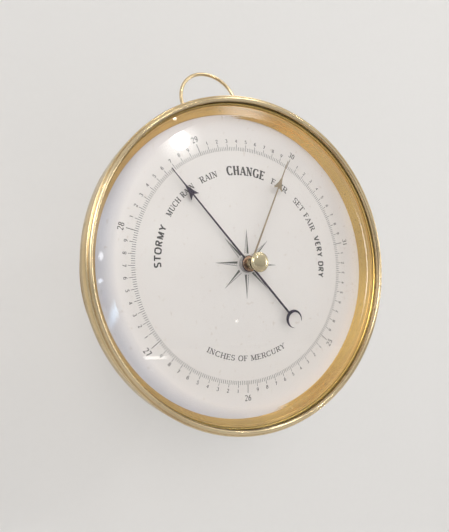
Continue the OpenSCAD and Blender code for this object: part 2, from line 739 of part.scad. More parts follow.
module capsule_stud() color("goldenrod") stand() {
    translate([0, 0, plate_top]) cylinder(r = post_foot_r, h = capsule_low_z - plate_top);
    translate([0, 0, plate_z + fit_gap]) cylinder(r = post_r, h = plate_t);
}

module capsule_post() color("silver") stand() difference() {
    union() {
        translate([0, 0, capsule_top_z]) cylinder(r = post_foot_r, h = post_foot_t);
        translate([0, 0, capsule_top_z]) cylinder(r = post_r, h = post_top - capsule_top_z);
    }
    rod_x(-post_r - 1, post_r + 1, 0, knife_z, knife_r + fit_gap);
}

module knife_pin() color("steelblue") stand()
    rod_x(-post_hole_r - knife_reach, post_hole_r + knife_reach, 0, knife_z, knife_r);

// Mainspring and its tilting carrier
module spring_section() {
    translate([-bend_y, spring_high_z - spring_t / 2]) square([bend_y + spring_reach, spring_t]);
    translate([-bend_y, spring_low_z - spring_t / 2]) square([bend_y - carrier_front_y, spring_t]);
    intersection() {
        translate([-bend_y, bend_z]) difference() {
            circle(bend_mean_r + spring_t / 2);
            circle(bend_mean_r - spring_t / 2);
        }
        translate([-bend_y - 2 * spring_rise, 0]) square([2 * spring_rise, 2 * bend_z]);
    }
}

module mainspring() color("steelblue") stand() difference() {
    intersection() {
        plate_x(-spring_w / 2, spring_w) spring_section();
        linear_extrude(spring_top + 1) polygon([[-spring_w / 2, -bend_y - spring_rise],
            [spring_w / 2, -bend_y - spring_rise], [spring_w / 2, -carrier_front_y],
            [spring_tip_w / 2, spring_reach], [-spring_tip_w / 2, spring_reach],
            [-spring_w / 2, -carrier_front_y]]);
    }
    translate([0, 0, bend_z]) cylinder(r = post_hole_r, h = spring_rise);
    for (x = [-1, 1]) translate([x * clamp_screw_x, -clamp_screw_y, 0])
        cylinder(r = case_screw_r + tap_gap, h = bend_z);
    for (x = [-1, 1]) translate([x * lever_screw_x, lever_screw_y, bend_z])
        cylinder(r = link_pin_r + tap_gap, h = spring_rise);
}

module spring_carrier() color("dimgray") stand() difference() {
    union() {
        box([-carrier_half_w, -carrier_back_y, plate_top + carrier_lift],
            [carrier_half_w, -carrier_front_y, carrier_top]);
        box([-carrier_half_w, -carrier_back_y, plate_top],
            [carrier_half_w, heel_w - carrier_back_y, carrier_top]);
    }
    for (x = [-1, 1]) {
        translate([x * carrier_screw_x, -carrier_screw_y, 0])
            cylinder(r = case_screw_r + tap_gap, h = carrier_top - carrier_lift);
        translate([x * clamp_screw_x, -clamp_screw_y, carrier_top - clamp_screw_grip - 0.2])
            cylinder(r = case_screw_r + tap_gap, h = clamp_screw_grip + 1);
    }
}

module carrier_screws() color("goldenrod") stand() for (x = [-1, 1])
    translate([x * carrier_screw_x, -carrier_screw_y, plate_z + fit_gap])
        csk_screw(case_screw_r, carrier_top - 1.2 * carrier_lift - plate_z - fit_gap, csk_r);

module zero_screw() color("steelblue") stand() translate([0, -zero_screw_y, case_wall / 2]) difference() {
    cylinder(r = zero_screw_r, h = plate_top + carrier_lift - case_wall / 2);
    translate([-zero_screw_r - 1, -slot_w / 2, -1]) cube([2 * zero_screw_r + 2, slot_w, 1 + slot_h]);
}

module spring_clamp() color("dimgray") stand() difference() {
    box([-spring_w / 2, -carrier_front_y - clamp_l, clamp_top - clamp_t],
        [spring_w / 2, -carrier_front_y, clamp_top]);
    for (x = [-1, 1]) translate([x * clamp_screw_x, -clamp_screw_y, clamp_top - clamp_t - 1])
        cylinder(r = case_screw_r + tap_gap, h = clamp_t + 2);
}

module clamp_screws() color("steelblue") stand() for (x = [-1, 1])
    translate([x * clamp_screw_x, -clamp_screw_y, clamp_top])
        cheese_screw(case_screw_r, clamp_top - carrier_top + clamp_screw_grip, 2 * case_screw_r);

// Main lever, from the mainspring's free end to the link
module main_lever() color("goldenrod") stand() difference() {
    union() {
        translate([0, 0, lever_z]) linear_extrude(lever_t) polygon([[-lever_foot_w, lever_root_y],
            [lever_foot_w, lever_root_y], [lever_foot_w, spring_reach], [lever_neck_w, lever_neck_y],
            [lever_tip_w, lever_end_y - link_eye_r - 0.4], [lever_tip_w, lever_end_y + 1],
            [-lever_tip_w, lever_end_y + 1], [-lever_tip_w, lever_end_y - link_eye_r - 0.4],
            [-lever_neck_w, lever_neck_y], [-lever_foot_w, spring_reach]]);
        rod_x(link_x - 0.4, 0, lever_end_y, lever_pin_z, link_pin_r);
    }
    for (x = [-1, 1]) translate([x * lever_screw_x, lever_screw_y, lever_z - 1])
        cylinder(r = link_pin_r + tap_gap, h = lever_t + 2);
}

module lever_screws() color("steelblue") stand() for (x = [-1, 1])
    translate([x * lever_screw_x, lever_screw_y, lever_z + lever_t])
        cheese_screw(link_pin_r, lever_t + spring_t, 2.2 * link_pin_r);

module lever_link() color("goldenrod") stand() difference() {
    union() {
        rod_x(link_x, link_x + link_t, lever_end_y, lever_pin_z, link_eye_r);
        rod_x(link_x, link_x + link_t, lever_end_y, shaft_z, link_eye_r);
        box([link_x, lever_end_y - 0.6, lever_pin_z], [link_x + link_t, lever_end_y + 0.6, shaft_z]);
    }
    rod_x(link_x - 1, link_x + 2, lever_end_y, lever_pin_z, link_pin_r + run_gap);
    rod_x(link_x - 1, link_x + 2, lever_end_y, shaft_z, link_pin_r + link_play);
}

// Rocking shaft between its two posts, with the crank, the chain arm and the balance weight
module rocking_shaft() color("silver") stand() {
    rod_x(-shaft_half_l, shaft_half_l, shaft_y, shaft_z, shaft_r);
    rod_x(-shaft_half_l - bearing_t, shaft_half_l + bearing_t, shaft_y, shaft_z, pivot_r);
}

module bearing_post(x0) color("goldenrod") stand() difference() {
    union() {
        box([x0, shaft_y - post_half_w, plate_top], [x0 + bearing_t, shaft_y + post_half_w, shaft_z]);
        rod_x(x0, x0 + bearing_t, shaft_y, shaft_z, post_half_w);
        box([x0 - bearing_foot, shaft_y - post_half_w - bearing_foot, plate_top],
            [x0 + bearing_t + bearing_foot, shaft_y + post_half_w + bearing_foot, plate_top + bearing_foot]);
    }
    rod_x(x0 - 1, x0 + bearing_t + 1, shaft_y, shaft_z, pivot_r + run_gap);
}
module bearing_post_left() bearing_post(-shaft_half_l - bearing_t - end_gap);
module bearing_post_right() bearing_post(shaft_half_l + end_gap);

// An arm clamped on the shaft, reaching l along +y before it is turned
module shaft_arm(x0, l, tip_r) plate_x(x0, arm_t) difference() {
    union() {
        circle(arm_hub_r);
        translate([0, -0.6]) square([l, 1.2]);
        translate([l, 0]) circle(tip_r);
    }
    circle(shaft_r + fit_gap);
}

module crank_arm() color("goldenrod") stand() translate([0, shaft_y, shaft_z]) {
    rotate([180, 0, 0]) shaft_arm(crank_x, crank_l, 1);
    rod_x(crank_x + arm_t - 0.1, link_x + link_t + 0.4, -crank_l, 0, link_pin_r);
}

module chain_arm() color("goldenrod") stand() translate([0, shaft_y, shaft_z]) rotate([90, 0, 0])
    shaft_arm(chain_line_x - arm_t / 2, chain_arm_l, 0.9);

module rocker_weight() color("goldenrod") stand() translate([0, shaft_y, shaft_z]) {
    shaft_arm(crank_x - 2, weight_arm_l, 1);
    rod_x(crank_x - 1.5 - weight_half_l, crank_x - 1.5 + weight_half_l, weight_arm_l, 0, weight_r);
}

// Fine chain from the arm to the drum: side plates over round pins
module chain() color("silver") stand() {
    reach = shaft_y - 1.1;
    links = floor(reach / chain_pitch);
    pitch = reach / links;
    for (i = [0 : links - 1]) {
        lift = (i % 2) * 0.16 - 0.08;
        box([chain_line_x - chain_t / 2, i * pitch - 0.15, chain_z + lift - 0.2],
            [chain_line_x + chain_t / 2, (i + 1) * pitch + 0.15, chain_z + lift + 0.2]);
    }
}

// Flat spiral strip from the collet out to its stud
hairspring_inner_r = hairspring_collet_r + hairspring_t / 2;
function spiral(i, side) = let (turn = i / hairspring_steps,
        r = hairspring_inner_r + (hairspring_r - hairspring_inner_r) * turn / hairspring_turns
            + side * hairspring_t / 2)
    [r * cos(360 * turn), r * sin(360 * turn)];

module hairspring() color("steelblue") stand() translate([0, 0, hairspring_z]) linear_extrude(hairspring_h) {
    steps = hairspring_turns * hairspring_steps;
    polygon(concat([for (i = [0 : steps]) spiral(i, -1)], [for (i = [steps : -1 : 0]) spiral(i, 1)]));
}

module hairspring_stud() color("goldenrod") stand() difference() {
    slot_end_x = hairspring_r + hairspring_t / 2 + fit_gap;
    translate([hairspring_r + stud_offset, 0, bridge_top])
        cylinder(r = stud_post_r, h = hairspring_z + 1.4 - bridge_top);
    box([slot_end_x - 2, -2, hairspring_z - fit_gap],
        [slot_end_x, fit_gap, hairspring_z + hairspring_h + fit_gap]);
}

case_drum();
case_collar();
bezel();
sight_ring();
glass();
dial_plate();
pendant();
pendant_nut();
hanging_ring();
setting_knob();
set_hand_arbor();
set_hand();
glass_bush();
bush_nut();
friction_washer();
pointer();
pointer_collet();
pointer_arbor();
chain_drum();
hairspring_collet();
base_plate();
dial_pillar_1();
dial_pillar_2();
dial_pillar_3();
dial_pillar_4();
case_screws();
bridge_pillar_left();
bridge_pillar_right();
arbor_bridge();
bridge_screws();
cock_pillars();
upper_cock();
cock_screws();
capsule_stud();
capsule_lower();
capsule_upper();
capsule_post();
knife_pin();
spring_carrier();
carrier_screws();
zero_screw();
mainspring();
spring_clamp();
clamp_screws();
main_lever();
lever_screws();
lever_link();
bearing_post_left();
bearing_post_right();
rocking_shaft();
crank_arm();
chain_arm();
rocker_weight();
chain();
hairspring();
hairspring_stud();
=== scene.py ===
import bpy
import bmesh
import json
import math
from mathutils import Matrix, Vector
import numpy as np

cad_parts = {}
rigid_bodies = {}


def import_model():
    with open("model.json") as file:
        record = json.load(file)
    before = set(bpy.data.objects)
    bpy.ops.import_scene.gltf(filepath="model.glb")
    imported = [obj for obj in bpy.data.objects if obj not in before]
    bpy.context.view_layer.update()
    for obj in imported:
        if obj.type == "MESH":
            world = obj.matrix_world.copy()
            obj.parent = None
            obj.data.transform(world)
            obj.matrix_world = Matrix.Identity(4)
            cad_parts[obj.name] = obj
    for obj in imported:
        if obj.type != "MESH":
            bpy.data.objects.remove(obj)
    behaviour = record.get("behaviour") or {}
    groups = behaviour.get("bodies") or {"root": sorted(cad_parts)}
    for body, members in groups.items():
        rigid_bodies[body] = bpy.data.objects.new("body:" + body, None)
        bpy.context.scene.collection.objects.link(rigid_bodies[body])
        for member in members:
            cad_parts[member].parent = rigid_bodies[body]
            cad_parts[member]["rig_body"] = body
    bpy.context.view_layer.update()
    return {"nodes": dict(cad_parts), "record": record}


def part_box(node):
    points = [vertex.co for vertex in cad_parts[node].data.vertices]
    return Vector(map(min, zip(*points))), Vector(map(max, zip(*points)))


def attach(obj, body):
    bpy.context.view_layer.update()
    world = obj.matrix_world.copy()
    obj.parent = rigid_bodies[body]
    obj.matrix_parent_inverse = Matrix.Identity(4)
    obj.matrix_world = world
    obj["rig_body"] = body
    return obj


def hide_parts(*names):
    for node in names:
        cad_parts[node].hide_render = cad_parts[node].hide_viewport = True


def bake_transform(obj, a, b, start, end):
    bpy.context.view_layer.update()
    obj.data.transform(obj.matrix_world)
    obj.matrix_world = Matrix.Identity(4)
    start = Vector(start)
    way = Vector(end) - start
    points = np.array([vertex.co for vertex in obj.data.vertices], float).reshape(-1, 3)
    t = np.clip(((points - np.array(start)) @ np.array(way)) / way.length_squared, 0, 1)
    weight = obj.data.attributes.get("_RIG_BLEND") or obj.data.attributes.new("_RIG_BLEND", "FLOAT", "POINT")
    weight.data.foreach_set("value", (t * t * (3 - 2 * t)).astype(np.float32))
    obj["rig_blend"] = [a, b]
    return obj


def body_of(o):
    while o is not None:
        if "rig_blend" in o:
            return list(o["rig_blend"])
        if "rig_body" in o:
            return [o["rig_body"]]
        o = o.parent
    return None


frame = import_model()
nodes = frame["nodes"]
scene = bpy.context.scene
mm = 0.001


def addObject(name, data):
    thing = bpy.data.objects.new(name, data)
    scene.collection.objects.link(thing)
    return thing


# ---- camera ----
photoCamera = {
    "place": (-0.102068, -0.212594, -0.01713),
    "turn": (94.64627, 0.36412, -27.74939),
    "lens": 32.17555,
}

cameraData = bpy.data.cameras.new("photoCamera")
cameraData.lens = photoCamera["lens"]
cameraData.sensor_width = 36
cameraData.clip_start = 0.01
cameraData.clip_end = 20
camera = addObject("photoCamera", cameraData)
camera.location = photoCamera["place"]
camera.rotation_euler = [math.radians(a) for a in photoCamera["turn"]]
scene.camera = camera
scene.view_settings.view_transform = "Standard"
print("camera placed")


# ---- places on the instrument, in mm, seen from the front ----
def bench(x, y, z):  # x right, y up, z out of the back towards the viewer
    return Vector((x * mm, -z * mm, y * mm))


def onDial(r, angle, z):  # angle in degrees clockwise from the top
    a = math.radians(angle)
    return bench(r * math.sin(a), r * math.cos(a), z)


def arc(x, y, rx, ry, start, turn, steps):  # points on an ellipse, angles in degrees
    angles = [math.radians(start + turn * k / steps) for k in range(steps + 1)]
    return [(x + rx * math.cos(a), y + ry * math.sin(a)) for a in angles]


def shifted(x, y, offsets):
    return [(x + a, y + b) for a, b in offsets]


# ---- node helpers, for shaders and Geometry Nodes ----
def newTree(name, inputs, outputs, treeKind="ShaderNodeTree"):
    tree = bpy.data.node_groups.new(name, treeKind)
    for label, kind, value in inputs:
        socket = tree.interface.new_socket(name=label, in_out="INPUT", socket_type="NodeSocket" + kind)
        if value is not None:
            socket.default_value = value
    for label, kind in outputs:
        tree.interface.new_socket(name=label, in_out="OUTPUT", socket_type="NodeSocket" + kind)
    return tree, tree.nodes.new("NodeGroupInput").outputs, tree.nodes.new("NodeGroupOutput")


def feed(tree, n, inputs):  # a socket is linked, a plain value is set
    for key, value in inputs.items():
        if isinstance(value, bpy.types.NodeSocket):
            tree.links.new(value, n.inputs[key])
        else:
            n.inputs[key].default_value = value


def addNode(tree, kind, inputs, **settings):
    n = tree.nodes.new(kind)
    for key, value in settings.items():
        setattr(n, key, value)
    feed(tree, n, inputs)
    return n


def mathNode(tree, operation, a, b=None, clamp=False):
    inputs = {0: a} if b is None else {0: a, 1: b}
    return addNode(tree, "ShaderNodeMath", inputs, operation=operation, use_clamp=clamp).outputs[0]


def times(tree, a, b, clamp=False):
    return mathNode(tree, "MULTIPLY", a, b, clamp)


def plus(tree, a, b, clamp=False):
    return mathNode(tree, "ADD", a, b, clamp)


def lengthNode(tree, x, y):
    return mathNode(tree, "SQRT", plus(tree, times(tree, x, x), times(tree, y, y)))


def rangeNode(tree, value, low, high, toLow=0.0, toHigh=1.0, **settings):
    return addNode(tree, "ShaderNodeMapRange", {"Value": value, "From Min": low, "From Max": high,
        "To Min": toLow, "To Max": toHigh}, **settings).outputs["Result"]


def noiseNode(tree, vector, **inputs):
    return addNode(tree, "ShaderNodeTexNoise", {"Vector": vector, **inputs}).outputs["Fac"]


def splitVector(tree, vector):
    return addNode(tree, "ShaderNodeSeparateXYZ", {0: vector}).outputs


def joinVector(tree, **parts):
    return addNode(tree, "ShaderNodeCombineXYZ", parts).outputs[0]


# ---- shader groups shared by the finishes ----
def buildLatheMarks():  # fine concentric lines left by the turning tool, round the dial's axis
    tree, put, out = newTree("latheMarks",
        [("Vector", "Vector", None), ("Fineness", "Float", 900.0)],
        [("Lines", "Float"), ("Radius", "Float")])
    parts = splitVector(tree, put["Vector"])
    radius = lengthNode(tree, parts["X"], parts["Z"])
    across = joinVector(tree, X=radius, Y=parts["Y"])
    lines = noiseNode(tree, across, Scale=put["Fineness"], Detail=3, Roughness=0.7)
    feed(tree, out, {"Lines": lines, "Radius": radius})
    return tree


def buildPatina():  # cloudy darkening of old lacquer and bare metal
    tree, put, out = newTree("patinaClouds",
        [("Vector", "Vector", None), ("Scale", "Float", 40.0), ("Cover", "Float", 0.5)],
        [("Mask", "Float"), ("Specks", "Float")])
    broad = noiseNode(tree, put["Vector"], Scale=put["Scale"], Detail=5)
    edge = mathNode(tree, "SUBTRACT", 1.0, put["Cover"])
    lifted = mathNode(tree, "SUBTRACT", broad, times(tree, edge, 0.7))
    mask = times(tree, lifted, 3.0, clamp=True)
    fine = noiseNode(tree, put["Vector"], Scale=times(tree, put["Scale"], 22.0), Detail=2)
    feed(tree, out, {"Mask": mask, "Specks": rangeNode(tree, fine, 0.66, 0.74)})
    return tree


def buildScratches():  # hairlines from years of wiping
    tree, put, out = newTree("wipedScratches",
        [("Vector", "Vector", None), ("Scale", "Float", 60.0)], [("Mask", "Float")])
    last = None
    for turn, stretch in ((0.5, (14, 1, 1)), (-0.9, (1, 1, 17)), (1.9, (9, 2, 1))):
        mapping = addNode(tree, "ShaderNodeMapping",
            {"Vector": put["Vector"], "Rotation": (0.3 * turn, turn, 0.2), "Scale": stretch})
        line = rangeNode(tree, noiseNode(tree, mapping.outputs[0], Scale=put["Scale"], Detail=1), 0.64, 0.72)
        last = line if last is None else mathNode(tree, "MAXIMUM", last, line)
    feed(tree, out, {"Mask": last})
    return tree


def buildWornEdges():  # where a softened corner turns away from the flat, lacquer has gone
    tree, put, out = newTree("wornEdges",
        [("Width", "Float", 0.0004), ("Vector", "Vector", None)], [("Mask", "Float"), ("Normal", "Vector")])
    soft = addNode(tree, "ShaderNodeBevel", {"Radius": put["Width"]}, samples=4).outputs[0]
    flat = tree.nodes.new("ShaderNodeNewGeometry").outputs["Normal"]
    dot = addNode(tree, "ShaderNodeVectorMath", {0: soft, 1: flat}, operation="DOT_PRODUCT")
    chips = noiseNode(tree, put["Vector"], Scale=300)
    turned = rangeNode(tree, dot.outputs["Value"], 0.99, 0.86)
    mask = times(tree, turned, rangeNode(tree, chips, 0.35, 0.6), clamp=True)
    feed(tree, out, {"Mask": mask, "Normal": soft})
    return tree


def buildDust():  # a thin film on what faces up
    tree, put, out = newTree("dustFilm",
        [("Vector", "Vector", None), ("Amount", "Float", 0.3)], [("Mask", "Float")])
    parts = splitVector(tree, tree.nodes.new("ShaderNodeNewGeometry").outputs["Normal"])
    noise = noiseNode(tree, put["Vector"], Scale=700, Detail=4)
    up = rangeNode(tree, parts["Z"], 0.35, 1.0)
    grains = rangeNode(tree, noise, 0.4, 0.7)
    feed(tree, out, {"Mask": times(tree, times(tree, up, grains), put["Amount"], clamp=True)})
    return tree


latheMarks = buildLatheMarks()
patinaClouds = buildPatina()
wipedScratches = buildScratches()
wornEdges = buildWornEdges()
dustFilm = buildDust()
print("shader groups built")


# ---- finishes ----
def startMaterial(name):
    material = bpy.data.materials.new(name)
    material.use_nodes = True
    tree = material.node_tree
    tree.nodes.clear()
    shader = tree.nodes.new("ShaderNodeBsdfPrincipled")
    addNode(tree, "ShaderNodeOutputMaterial", {"Surface": shader.outputs[0]})
    return material, tree, shader, tree.nodes.new("ShaderNodeTexCoord").outputs["Object"]


def placeGroup(tree, group, vector, **values):
    return addNode(tree, "ShaderNodeGroup", {"Vector": vector, **values}, node_tree=group).outputs


def mixColour(tree, factor, a, b, blend="MIX"):
    a, b = ((*c, 1) if isinstance(c, tuple) else c for c in (a, b))
    return addNode(tree, "ShaderNodeMix", {0: factor, 6: a, 7: b}, data_type="RGBA", blend_type=blend).outputs[2]


def mixLayers(tree, look, **masks):  # each layer lies over those before it
    colour = look["colour"]
    for layer, mask in masks.items():
        colour = mixColour(tree, times(tree, mask, look[layer + "Depth"]), colour, look[layer + "Colour"])
    return colour


def setBump(tree, shader, look, **inputs):
    bump = addNode(tree, "ShaderNodeBump", {"Strength": look["bump"], "Distance": look["bumpReach"], **inputs})
    feed(tree, shader, {"Normal": bump.outputs[0]})


def openSurface(tree, factor, shader, colour):  # where the factor is 1, light passes straight through
    clear = addNode(tree, "ShaderNodeBsdfTransparent", {0: colour})
    mix = addNode(tree, "ShaderNodeMixShader", {0: factor, 1: shader.outputs[0], 2: clear.outputs[0]})
    output = next(n for n in tree.nodes if n.type == "OUTPUT_MATERIAL")
    feed(tree, output, {"Surface": mix.outputs[0]})


def startFinish(name, look):
    material, tree, shader, place = startMaterial(name)
    marks = placeGroup(tree, latheMarks, place, Fineness=look["lineFineness"])
    clouds = placeGroup(tree, patinaClouds, place, Scale=look["cloudScale"], Cover=look["cloudCover"])
    return material, tree, shader, place, marks, clouds


def metalFinish(name, look):
    material, tree, shader, place, marks, clouds = startFinish(name, look)
    scratches = placeGroup(tree, wipedScratches, place, Scale=look["scratchScale"])
    edges = placeGroup(tree, wornEdges, place, Width=look["edgeWidth"])
    dust = placeGroup(tree, dustFilm, place, Amount=look["dust"])
    colour = mixLayers(tree, dict(look, lineColour=look["cloudColour"]), cloud=clouds["Mask"],
        line=marks["Lines"], speck=clouds["Specks"], edge=edges["Mask"])
    colour = mixColour(tree, dust["Mask"], colour, look["dustColour"])
    rough = plus(tree, times(tree, clouds["Mask"], look["roughSwing"]), look["rough"])
    rough = plus(tree, rough, times(tree, scratches["Mask"], look["roughSwing"]))
    rough = plus(tree, rough, times(tree, dust["Mask"], look["dustRough"]), clamp=True)
    height = plus(tree, times(tree, marks["Lines"], look["lineHeight"]),
        times(tree, scratches["Mask"], -look["scratchDepth"]))
    setBump(tree, shader, look, Height=height, Normal=edges["Normal"])
    feed(tree, shader, {"Base Color": colour, "Roughness": rough, "Metallic": look["metallic"],
        "Specular Tint": (*look["grazing"], 1), "Coat Weight": look["coat"], "Coat Roughness": look["coatRough"]})
    return material


plainMetal = {
    "metallic": 1.0, "coat": 0.0, "coatRough": 0.08, "rough": 0.2, "roughSwing": 0.08,
    "bump": 0.35, "bumpReach": 0.0001, "lineFineness": 900, "lineHeight": 1.0, "lineDepth": 0.12,
    "scratchScale": 60, "scratchDepth": 0.35, "cloudScale": 38, "cloudCover": 0.5, "cloudDepth": 0.45,
    "speckDepth": 0.5, "speckColour": (0.12, 0.07, 0.03), "grazing": (0.85, 0.80, 0.70),
    "edgeWidth": 0.0004, "edgeDepth": 0.6, "edgeColour": (0.86, 0.68, 0.42),
    "dust": 0.12, "dustRough": 0.4, "dustColour": (0.55, 0.53, 0.5),
}
finishLooks = {
    "case_brass": dict(plainMetal, colour=(0.80, 0.655, 0.42), cloudColour=(0.44, 0.32, 0.18),
        rough=0.08, lineFineness=1100, bump=0.16, grazing=(0.9, 0.78, 0.55)),
    "gilt_brass": dict(plainMetal, colour=(0.85, 0.565, 0.175), cloudColour=(0.60, 0.34, 0.12),
        rough=0.22, roughSwing=0.03, grazing=(0.90, 0.78, 0.56), lineFineness=1700, bump=0.1,
        scratchDepth=0.0, cloudDepth=0.25, cloudCover=0.42, speckDepth=0.35, edgeDepth=0.2),
    # the knob's deep, fine clouds are patina and also painted reflection, for the dome's patchy dark and light look
    "knob_brass": dict(plainMetal, colour=(0.80, 0.70, 0.46), cloudColour=(0.36, 0.29, 0.20),
        cloudScale=150, cloudDepth=0.8, rough=0.12, bump=0.15, edgeColour=(0.95, 0.84, 0.60),
        edgeWidth=0.0002),
    "hand_brass": dict(plainMetal, colour=(0.38, 0.30, 0.20), cloudColour=(0.22, 0.16, 0.11),
        rough=0.3, cloudScale=90, edgeColour=(0.52, 0.42, 0.30), edgeWidth=0.00012),
    "copper_brass": dict(plainMetal, colour=(0.38, 0.235, 0.165), cloudColour=(0.22, 0.12, 0.08),
        rough=0.25, edgeColour=(0.80, 0.52, 0.34), edgeWidth=0.0002),
    "movement_brass": dict(plainMetal, colour=(0.66, 0.47, 0.22), cloudColour=(0.46, 0.30, 0.12),
        rough=0.3, lineFineness=600, bump=0.5, edgeWidth=0.0003),
    "nickel_silver": dict(plainMetal, colour=(0.62, 0.60, 0.54), cloudColour=(0.42, 0.39, 0.32),
        rough=0.28, bump=0.4, edgeColour=(0.80, 0.78, 0.72), speckColour=(0.25, 0.22, 0.16)),
    "bright_steel": dict(plainMetal, colour=(0.56, 0.56, 0.57), cloudColour=(0.36, 0.34, 0.32),
        rough=0.22, edgeColour=(0.75, 0.75, 0.75), edgeWidth=0.0001, speckColour=(0.22, 0.12, 0.07)),
    "blued_steel": dict(plainMetal, colour=(0.040, 0.030, 0.060), cloudColour=(0.070, 0.035, 0.045),
        rough=0.26, cloudScale=120, edgeColour=(0.22, 0.20, 0.26), edgeWidth=0.00012, dust=0.05,
        speckColour=(0.10, 0.05, 0.03)),
    "black_iron": dict(plainMetal, colour=(0.055, 0.055, 0.058), cloudColour=(0.10, 0.075, 0.06),
        metallic=0.6, rough=0.5, cloudScale=150, bump=0.8, edgeColour=(0.30, 0.29, 0.28),
        speckColour=(0.16, 0.08, 0.04)),
}
finishes = {name: metalFinish(name + "_finish", look) for name, look in finishLooks.items()}
# a darker copy of the case brass for the drum and collar: painted shade on the case's side
shadedDrumBrass = metalFinish("shadedDrumBrass", dict(finishLooks["case_brass"], colour=(0.46, 0.31, 0.14),
    cloudColour=(0.24, 0.14, 0.06), rough=0.24, coat=0.1, cloudScale=24, cloudDepth=0.6,
    grazing=(0.6, 0.45, 0.28)))

dialLook = {
    # the rim colour and depth paint light on the plate's edge, against the shade of the sight ring
    "colour": (0.775, 0.728, 0.716), "cloudColour": (0.69, 0.635, 0.62), "rimColour": (0.93, 0.89, 0.92),
    "speckColour": (0.42, 0.30, 0.20), "grainColour": (0.62, 0.60, 0.58),
    "cloudDepth": 0.35, "rimDepth": 0.6, "speckDepth": 0.22, "grainDepth": 0.10,
    "cloudScale": 26, "cloudCover": 0.42, "grainScale": 5200, "rimRadii": (0.052, 0.0625),
    "rough": (0.42, 0.56), "lineFineness": 2600, "lineHeight": 0.3, "bump": 0.12, "bumpReach": 0.00005,
    "metallic": 0.3,
}
glassLook = {
    # the bevel's grey-blue colour and its slant are painted shade with a painted blue reflection, low on the left
    "colour": (0.985, 0.995, 0.99), "facetColour": (0.995, 0.99, 0.995), "paintedShadeColour": (0.66, 0.695, 0.765),
    "rimColour": (0.86, 0.93, 0.89), "shadowColour": (0.93, 0.94, 0.93, 1),
    "facetRadii": (0.0582, 0.0634), "rimRadii": (0.0655, 0.0671), "paintedShadeX": 0.85, "paintedShadeZ": 0.65,
    "paintedShadeSpan": (0.0, -0.045), "lineFineness": 300, "cloudScale": 22, "cloudCover": 0.36,
    "cloudRough": 0.012, "rimRough": 0.12, "index": 1.5,
}
plainWax = {
    "cloudScale": 160, "cloudCover": 0.5, "grainScale": 1500, "wornDepth": 0.6, "speckDepth": 0.5,
    "speckColour": (0.4, 0.37, 0.33), "rough": (0.35, 0.6), "bump": 0.3, "bumpReach": 0.00003,
}


def silveredFinish(name, look):  # chalk-white silvering over brass, made paler at the rim as painted light against the sight ring's shade
    material, tree, shader, place, marks, clouds = startFinish(name, look)
    grain = noiseNode(tree, place, Scale=look["grainScale"], Detail=3)
    # the rim mask paints the plate paler next to the sight ring: painted light against its shade
    rim = rangeNode(tree, marks["Radius"], *look["rimRadii"])
    colour = mixLayers(tree, look, cloud=clouds["Mask"], rim=rim, speck=clouds["Specks"], grain=grain)
    feed(tree, shader, {"Base Color": colour, "Roughness": rangeNode(tree, grain, 0.3, 0.7, *look["rough"]),
        "Metallic": look["metallic"]})
    setBump(tree, shader, look, Height=plus(tree, times(tree, marks["Lines"], look["lineHeight"]), grain))
    return material


def glassFinish(name, look):  # clear, with dust against the rim; low on the left its bevel is tinted darker and grey-blue, painted shade with a painted reflection
    material, tree, shader, place, marks, clouds = startFinish(name, look)
    rim = rangeNode(tree, marks["Radius"], *look["rimRadii"])
    facet = rangeNode(tree, marks["Radius"], *look["facetRadii"])
    parts = splitVector(tree, place)
    slant = plus(tree, times(tree, parts["X"], look["paintedShadeX"]), times(tree, parts["Z"], look["paintedShadeZ"]))
    # painted shade with a painted blue reflection: the bevel darkens and turns grey-blue towards the lower left
    paintedShade = rangeNode(tree, slant, *look["paintedShadeSpan"])
    facetPaintedShade = mixColour(tree, paintedShade, look["facetColour"], look["paintedShadeColour"])
    rough = plus(tree, times(tree, clouds["Mask"], look["cloudRough"]), times(tree, rim, look["rimRough"]))
    tint = mixColour(tree, facet, look["colour"], facetPaintedShade)
    feed(tree, shader, {"Roughness": rough, "Base Color": mixColour(tree, rim, tint, look["rimColour"]),
        "Transmission Weight": 1, "IOR": look["index"]})
    path = tree.nodes.new("ShaderNodeLightPath")  # lamp light passes to the dial
    openSurface(tree, path.outputs["Is Shadow Ray"], shader, look["shadowColour"])
    return material


def waxFinish(name, look):  # wax rubbed into the engraved lines
    material, tree, shader, place = startMaterial(name)
    clouds = placeGroup(tree, patinaClouds, place, Scale=look["cloudScale"], Cover=look["cloudCover"])
    grain = noiseNode(tree, place, Scale=look["grainScale"])
    colour = mixLayers(tree, look, worn=clouds["Mask"], speck=clouds["Specks"])
    feed(tree, shader, {"Base Color": colour, "Roughness": rangeNode(tree, grain, 0.3, 0.7, *look["rough"])})
    setBump(tree, shader, look, Height=grain)
    return material


finishes["silvered_dial"] = silveredFinish("silvered_dial_finish", dialLook)
finishes["bevelled_glass"] = glassFinish("bevelled_glass_finish", glassLook)
blackWax = waxFinish("blackWax", dict(plainWax, colour=(0.022, 0.018, 0.018), wornColour=(0.075, 0.062, 0.055)))
greyWax = waxFinish("greyWax", dict(plainWax, colour=(0.060, 0.062, 0.052), wornColour=(0.14, 0.135, 0.115)))

# every carried-over node takes the finish of its slot, but the drum and collar behind the bezel take a darker copy
# of the case brass, painted shade for the case's side
paintedShadeParts = ("case_drum", "case_collar")
slotOf = {part["node"]: part["material_slot"] for part in frame["record"]["subparts"]}
for nodeName, node in nodes.items():
    node.data.materials.clear()
    node.data.materials.append(shadedDrumBrass if nodeName in paintedShadeParts else finishes[slotOf[nodeName]])
print("finishes on", len(nodes), "nodes")


# ---- mesh helpers ----
def finishMesh(mesh, angle):
    for face in mesh.polygons:
        face.use_smooth = True
    mesh.set_sharp_from_angle(angle=math.radians(angle))


